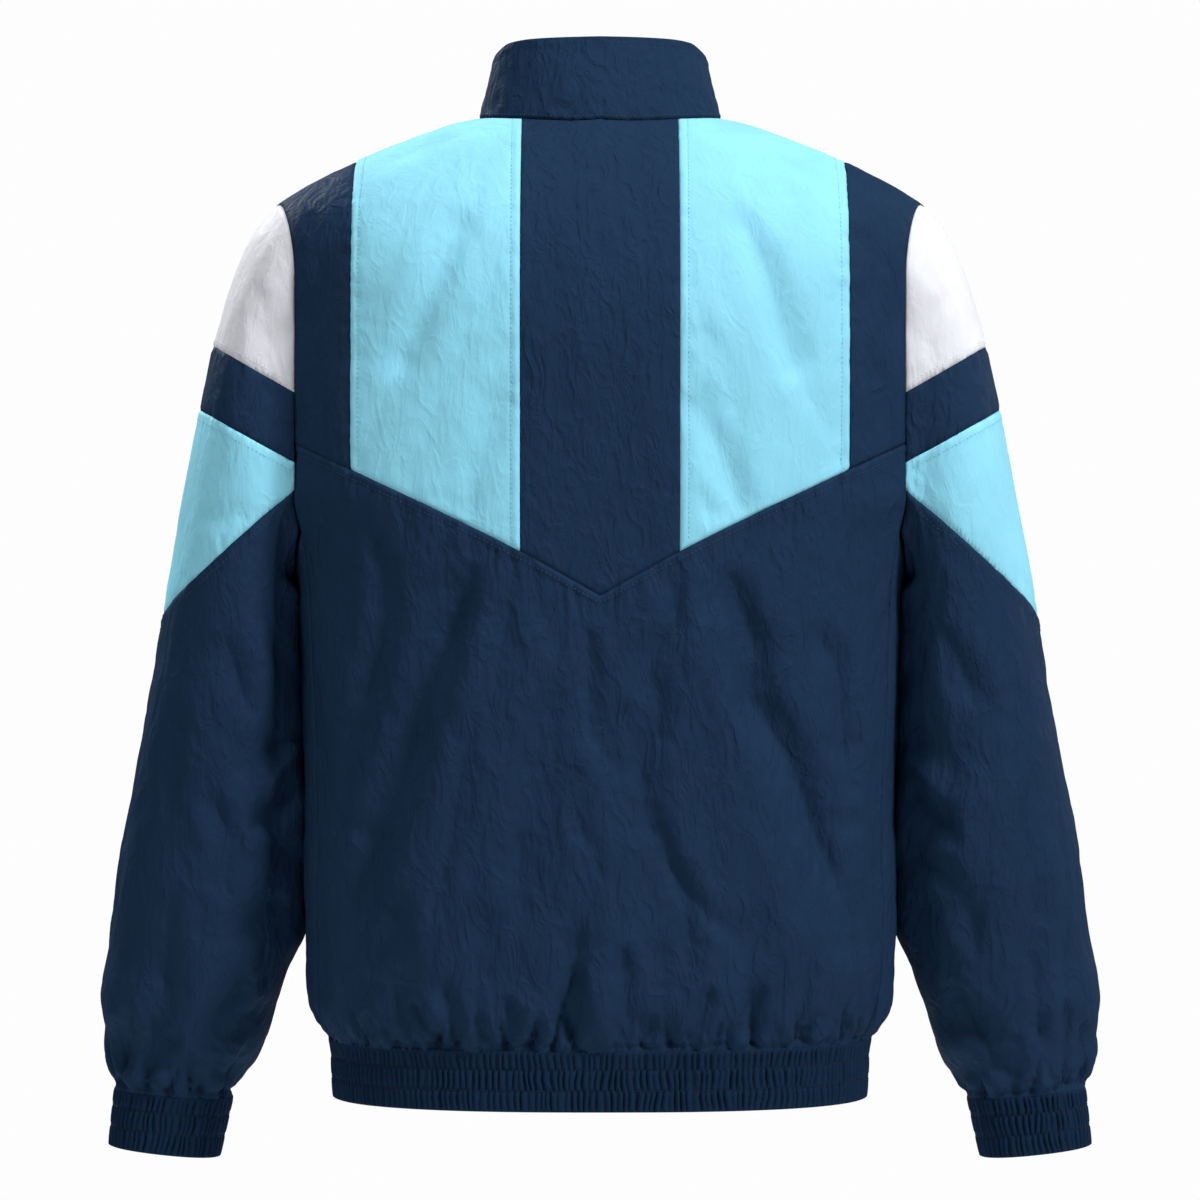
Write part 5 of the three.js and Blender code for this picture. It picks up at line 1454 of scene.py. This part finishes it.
def build_band(name, frame_of, ribs, span, sign, materials):
    count = ribs * RIB_COLUMNS
    closed = span == FULL_TURN
    angles = even_angles(frame_of(0.5), *span, count)
    phase = np.arange(count + 1) / RIB_COLUMNS
    rows = [band_ring(frame_of(-TUCK), angles, -TUCK_IN)]
    for part in np.linspace(0, 1, BAND_ROWS):
        place = np.stack([phase / 9, np.full_like(phase, part * 3), np.zeros_like(phase)], -1)
        drift = 0.35 * noise(place, 13)
        edge = smoothstep(part, 0, 0.05) * 0.4 + 0.6
        out = rib_profile(phase + drift, part, 7 + sign, ribs) * edge
        rows.append(band_ring(frame_of(part), angles, out))
    rows.append(band_ring(frame_of(1.0), angles, -LIP_IN) + np.array([0, 0, -LIP_DROP]))
    for part in (1.0, 0.5, -TUCK):
        rows.append(band_ring(frame_of(part), angles, -BAND_WALL))
    if closed:
        rows = [row[:-1] for row in rows]
    flip = np.array([sign, 1, 1])
    points = np.concatenate(rows) * flip
    faces = tube_faces(len(rows), len(rows[0]), closed)
    band = new_object(f"cloth_{name}", points, faces, materials["band"], [name])
    recalculate_normals(band)
    thread = []
    for part in STITCH_PARTS:
        line = band_ring(frame_of(part), angles, 0.1) * flip
        outward = line - frame_of(part)[0] * flip
        thread.append(stitches(line, outward, BAND_STITCH_PITCH, BAND_STITCH_LENGTH, THREAD))
    return thread


def build_bands(materials):
    hem_edge = (ZIP_EDGE - 0.1) / RING_WIDTH[0]
    zip_angle = math.pi - math.asin(hem_edge ** (RING_POWER_X / 2))
    thread = build_band("hem_band", hem_frame, HEM_RIBS, (-zip_angle, zip_angle), 1, materials)
    for side, sign in (("left", 1), ("right", -1)):
        thread += build_band(f"cuff_{side}", cuff_frame, CUFF_RIBS, FULL_TURN, sign, materials)
    join_thread("stitches_bands", thread, materials["band_thread"])


# Materials

def link(tree, source, target):
    tree.links.new(source, target)


def node(tree, kind, **settings):
    made = tree.nodes.new(kind)
    for name, value in settings.items():
        if name in made.inputs:
            made.inputs[name].default_value = value
        else:
            setattr(made, name, value)
    return made


def principled(name, colour, roughness, metallic=0.0, specular=0.5):
    material = bpy.data.materials.new(name)
    material.use_nodes = True
    material.diffuse_color = (*colour, 1)
    shader = material.node_tree.nodes["Principled BSDF"]
    shader.inputs["Base Color"].default_value = (*colour, 1)
    shader.inputs["Roughness"].default_value = roughness
    shader.inputs["Metallic"].default_value = metallic
    shader.inputs["Specular IOR Level"].default_value = specular
    return material, material.node_tree, shader


def noise_node(tree, coordinates, scale, detail, roughness, distortion=0.0):
    settings = dict(Scale=scale, Detail=detail, Roughness=roughness, Distortion=distortion)
    made = node(tree, "ShaderNodeTexNoise", **settings)
    link(tree, coordinates, made.inputs["Vector"])
    return made


def ramp(tree, source, low, high, to_low, to_high):
    made = node(tree, "ShaderNodeMapRange")
    for name, value in (("From Min", low), ("From Max", high), ("To Min", to_low), ("To Max", to_high)):
        made.inputs[name].default_value = value
    link(tree, source, made.inputs["Value"])
    return made.outputs["Result"]


def scaled_coordinates(tree, scale):
    coordinates = node(tree, "ShaderNodeTexCoord")
    mapping = node(tree, "ShaderNodeMapping")
    mapping.inputs["Scale"].default_value = scale
    link(tree, coordinates.outputs["Object"], mapping.inputs["Vector"])
    return mapping.outputs["Vector"]


def tinted(tree, shader, colour, source, low, high):
    mix = node(tree, "ShaderNodeMix", data_type="RGBA")
    mix.inputs["A"].default_value = (*[channel * low for channel in colour], 1)
    mix.inputs["B"].default_value = (*[min(channel * high, 1) for channel in colour], 1)
    link(tree, source, mix.inputs["Factor"])
    link(tree, mix.outputs["Result"], shader.inputs["Base Color"])


# Relief from texture nodes, each given with its depth in metres and its strength
def add_bumps(tree, shader, layers):
    before = None
    for source, distance, strength in layers:
        bump = node(tree, "ShaderNodeBump", Strength=strength, Distance=distance)
        link(tree, source.outputs["Fac"], bump.inputs["Height"])
        if before:
            link(tree, before.outputs["Normal"], bump.inputs["Normal"])
        before = bump
    link(tree, before.outputs["Normal"], shader.inputs["Normal"])


# A woven look: fine ridges across the given direction
def weave(tree, scale, distortion, direction, detail=2):
    threads = node(tree, "ShaderNodeTexWave", Scale=scale, Distortion=distortion, Detail=detail)
    threads.bands_direction = direction
    link(tree, scaled_coordinates(tree, (1, 1, 1)), threads.inputs["Vector"])
    return threads


# Crinkled nylon: crumple with short crisp lines, a fine grain, a plain weave, and a slightly uneven sheen
def nylon(name, colour, roughness, crumple=1.0):
    material, tree, shader = principled(name, colour, roughness)
    shader.inputs["IOR"].default_value = NYLON_IOR
    shader.inputs["Specular Tint"].default_value = NYLON_SHEEN
    plain = scaled_coordinates(tree, (1, 1, 1))
    tall = scaled_coordinates(tree, (1, 1, 0.45))
    crumples = noise_node(tree, tall, scale=95, detail=4, roughness=0.55, distortion=0.9)
    lines = noise_node(tree, tall, scale=60, detail=6, roughness=0.6, distortion=1.1)
    lines.noise_type = "RIDGED_MULTIFRACTAL"
    lines.inputs["Gain"].default_value = 1.6
    lines.inputs["Offset"].default_value = 0.9
    fine = noise_node(tree, plain, scale=380, detail=4, roughness=0.6, distortion=0.4)
    patches = noise_node(tree, tall, scale=26, detail=3, roughness=0.5, distortion=0.3)
    threads = weave(tree, 640, 0.3, "Z", 1)
    tinted(tree, shader, colour, patches.outputs["Fac"], 0.88, 1.14)
    uneven = ramp(tree, crumples.outputs["Fac"], 0.3, 0.7, roughness - 0.06, roughness + 0.07)
    link(tree, uneven, shader.inputs["Roughness"])
    add_bumps(tree, shader, [
        (threads, 0.0001, 0.12),
        (fine, 0.0004, 0.6 * crumple),
        (lines, 0.0007, 0.8 * crumple),
        (crumples, 0.0024, 0.8 * crumple),
    ])
    return material


def tape_material(colour):
    material, tree, shader = principled("woven_tape", colour, 0.75, specular=0.08)
    threads = weave(tree, 420, 0.4, "Z", 1)
    tinted(tree, shader, colour, threads.outputs["Fac"], 0.8, 1.3)
    add_bumps(tree, shader, [(threads, 0.0003, 0.5)])
    return material


def thread_material(name, colour):
    material, tree, shader = principled(name, colour, 0.6, specular=0.3)
    twist = weave(tree, 700, 0.5, "DIAGONAL")
    tinted(tree, shader, colour, twist.outputs["Fac"], 0.8, 1.2)
    return material


def moulded(name, colour, roughness, metallic=0.0):
    material, tree, shader = principled(name, colour, roughness, metallic, MOULDED_SPECULAR)
    plain = scaled_coordinates(tree, (1, 1, 1))
    wear = noise_node(tree, plain, scale=300, detail=4, roughness=0.6)
    tinted(tree, shader, colour, wear.outputs["Fac"], 0.85, 1.25)
    uneven = ramp(tree, wear.outputs["Fac"], 0.3, 0.7, roughness - 0.06, roughness + 0.08)
    link(tree, uneven, shader.inputs["Roughness"])
    add_bumps(tree, shader, [(wear, 0.0002, 0.15)])
    return material


def slot_colour(slot):
    for entry in frame["record"]["materials"]:
        if entry["slot"] == slot:
            return tuple(entry["base_color"][:3])
    raise KeyError(slot)


def make_materials():
    dimmed_white = tuple(WHITE_DIMMED * channel for channel in slot_colour("shell_white"))
    return dict(
        navy=nylon("navy_nylon", slot_colour("shell_navy"), 0.62),
        light=nylon("light_blue_nylon", slot_colour("shell_light_blue"), 0.52, 0.4),
        white=nylon("white_nylon", dimmed_white, 0.52, 0.35),
        band=nylon("shirred_nylon", slot_colour("shirred_band"), 0.55, 0.6),
        tape=tape_material(slot_colour("zip_tape")),
        teeth=moulded("moulded_teeth", slot_colour("zip_teeth"), 0.4),
        metal=moulded("painted_metal", slot_colour("zip_metal"), 0.38, 0.6),
        navy_thread=thread_material("navy_thread", NAVY_THREAD),
        light_thread=thread_material("light_thread", LIGHT_THREAD),
        white_thread=thread_material("white_thread", WHITE_THREAD),
        band_thread=thread_material("band_thread", BAND_THREAD),
    )


# Stage

def area_light(name, place, size, power):
    light = bpy.data.lights.new(name, "AREA")
    light.shape = "DISK"
    light.size = size
    light.energy = power
    obj = bpy.data.objects.new(name, light)
    obj.location = place
    obj.rotation_euler = (Vector(LIGHT_TARGET) - Vector(place)).to_track_quat("-Z", "Y").to_euler()
    bpy.context.scene.collection.objects.link(obj)


def place_camera(scene):
    camera = bpy.data.cameras.new("camera")
    camera.lens = CAMERA_LENS
    camera.sensor_width = SENSOR
    obj = bpy.data.objects.new("camera", camera)
    obj.location = (0, CAMERA_DISTANCE, CAMERA_HEIGHT)
    obj.rotation_euler = (math.pi / 2, 0, math.pi)
    scene.collection.objects.link(obj)
    scene.camera = obj


# A dim world that lights the jacket, and a white backdrop behind it
def make_world(scene):
    world = bpy.data.worlds.new("studio")
    scene.world = world
    world.use_nodes = True
    tree = world.node_tree
    lighting = tree.nodes["Background"]
    lighting.inputs["Color"].default_value = WORLD_COLOUR
    lighting.inputs["Strength"].default_value = WORLD_STRENGTH
    seen = node(tree, "ShaderNodeBackground")
    seen.inputs["Color"].default_value = BACKDROP_COLOUR
    path = node(tree, "ShaderNodeLightPath")
    mix = node(tree, "ShaderNodeMixShader")
    link(tree, path.outputs["Is Camera Ray"], mix.inputs["Fac"])
    link(tree, lighting.outputs["Background"], mix.inputs[1])
    link(tree, seen.outputs["Background"], mix.inputs[2])
    link(tree, mix.outputs["Shader"], tree.nodes["World Output"].inputs["Surface"])


def lay_floor(scene):
    mesh = bpy.data.meshes.new("floor")
    turns = np.linspace(0, 2 * math.pi, FLOOR_SIDES + 1)[:-1]
    rim = [(FLOOR_RADIUS * math.cos(turn), FLOOR_RADIUS * math.sin(turn), FLOOR_HEIGHT) for turn in turns]
    mesh.from_pydata(rim, [], [range(FLOOR_SIDES)])
    floor = bpy.data.objects.new("floor", mesh)
    mesh.materials.append(principled("floor", FLOOR_COLOUR, 0.8)[0])
    scene.collection.objects.link(floor)


def build_stage():
    scene = bpy.context.scene
    scene.view_settings.view_transform = "Standard"
    place_camera(scene)
    make_world(scene)
    lay_floor(scene)
    for name, place, size, power in LIGHTS:
        area_light(name, place, size, power)


# Zip

# The centre front from the hem to the collar as y and z, with the way out of the cloth at each point
def zip_line():
    hem = np.array([HEM_BOTTOM, HEM_BOTTOM + BOX_HEIGHT])
    low = np.stack([-read_table(RING_Z, RING_DEPTH, hem), hem], -1)
    front = body_surface(ZIP_COLUMN, np.arange(LAST_ROW, -1, -1))[:, 1:]
    turn = math.degrees(math.atan2(ZIP_EDGE / NECK_HALF_WIDTH, front[-1, 0] / NECK_FRONT))
    top = float(read_table(COLLAR_TURN, COLLAR_TOP, turn))
    collar = [[front[-1, 0] + COLLAR_LEAN * (top - front[-1, 1]), top]]
    line = np.concatenate([low, front, collar])
    runs = np.diff(line, axis=0)
    runs /= np.linalg.norm(runs, axis=1, keepdims=True)
    outs = np.stack([-runs[:, 1], runs[:, 0]], -1)
    outs = np.concatenate([outs[:1], outs[:-1] + outs[1:], outs[-1:]])
    return line, outs / np.linalg.norm(outs, axis=1, keepdims=True)


# Closed teeth: each reaches from its own tape past the middle, between two of the other side
def build_teeth(materials):
    line, outs = zip_line()
    lengths = travel_along(line)
    first = np.interp(HEM_BOTTOM + BOX_HEIGHT + CHAIN_START, line[:, 1], lengths)
    places = np.arange(first, lengths[-1] - CHAIN_END, TOOTH_PITCH / 2)
    at = lambda where, values: np.stack([np.interp(where, lengths, values[:, i]) for i in range(2)], -1)
    points, faces = [], []

    def add_prism(outline, place, back, face):
        start = len(points)
        for depth in (back, face):
            for x, along in outline:
                y, z = at(place + along, line) + at(place, outs) * depth
                points.append((x, y, z))
        count = len(outline)
        faces.append([start + i for i in range(count)])
        faces.append([start + count + i for i in reversed(range(count))])
        for i in range(count):
            k = (i + 1) % count
            faces.append([start + i, start + count + i, start + count + k, start + k])

    for index, place in enumerate(places):
        sign = 1 if index % 2 else -1
        add_prism([(sign * x, along) for x, along in TOOTH], place, TOOTH_BACK, TOOTH_FACE)
    stops = np.concatenate([[first - STRIP_START], places[TEETH_IN_STRIP::TEETH_IN_STRIP]])
    half = CHAIN_HALF - STRIP_INSET
    for low, high in zip(stops[:-1], stops[1:]):
        strip = [(-half, low - high), (half, low - high), (half, 0), (-half, 0)]
        add_prism(strip, high, TOOTH_BACK, TOOTH_BACK + STRIP_THICKNESS)
    teeth = new_object("zip_teeth", points, faces, materials["teeth"], ["zip_chain"])
    shade_flat(teeth)
    recalculate_normals(teeth)


# The sewn margin of each tape, which lies behind the edge of the front
def build_tape_margins(materials):
    line, outs = zip_line()
    corners = [
        (MARGIN_FROM, MARGIN_FACE),
        (MARGIN_TO, MARGIN_FACE),
        (MARGIN_TO, MARGIN_BACK),
        (MARGIN_FROM, MARGIN_BACK),
    ]
    points, faces = [], []
    for sign in (-1, 1):
        first = len(points)
        for x, depth in corners:
            for (y, z), (out_y, out_z) in zip(line, outs):
                points.append((sign * x, y + out_y * depth, z + out_z * depth))
        for face in tube_faces(len(corners), len(line), False):
            faces.append([first + corner for corner in face])
    margins = new_object("tape_margins", points, faces, materials["tape"])
    shade_flat(margins)
    recalculate_normals(margins)


def dress_zip(materials):
    for name, material in (
        ("zip_tape_left", "tape"),
        ("zip_tape_right", "tape"),
        ("zip_box", "teeth"),
        ("zip_slider", "metal"),
        ("zip_pull", "metal"),
    ):
        obj = frame["nodes"][name]
        obj.data.materials.clear()
        obj.data.materials.append(materials[material])


build_stage()
materials = make_materials()
build_body(materials)
build_sleeves(materials)
build_collar(materials)
build_bands(materials)
build_teeth(materials)
build_tape_margins(materials)
dress_zip(materials)
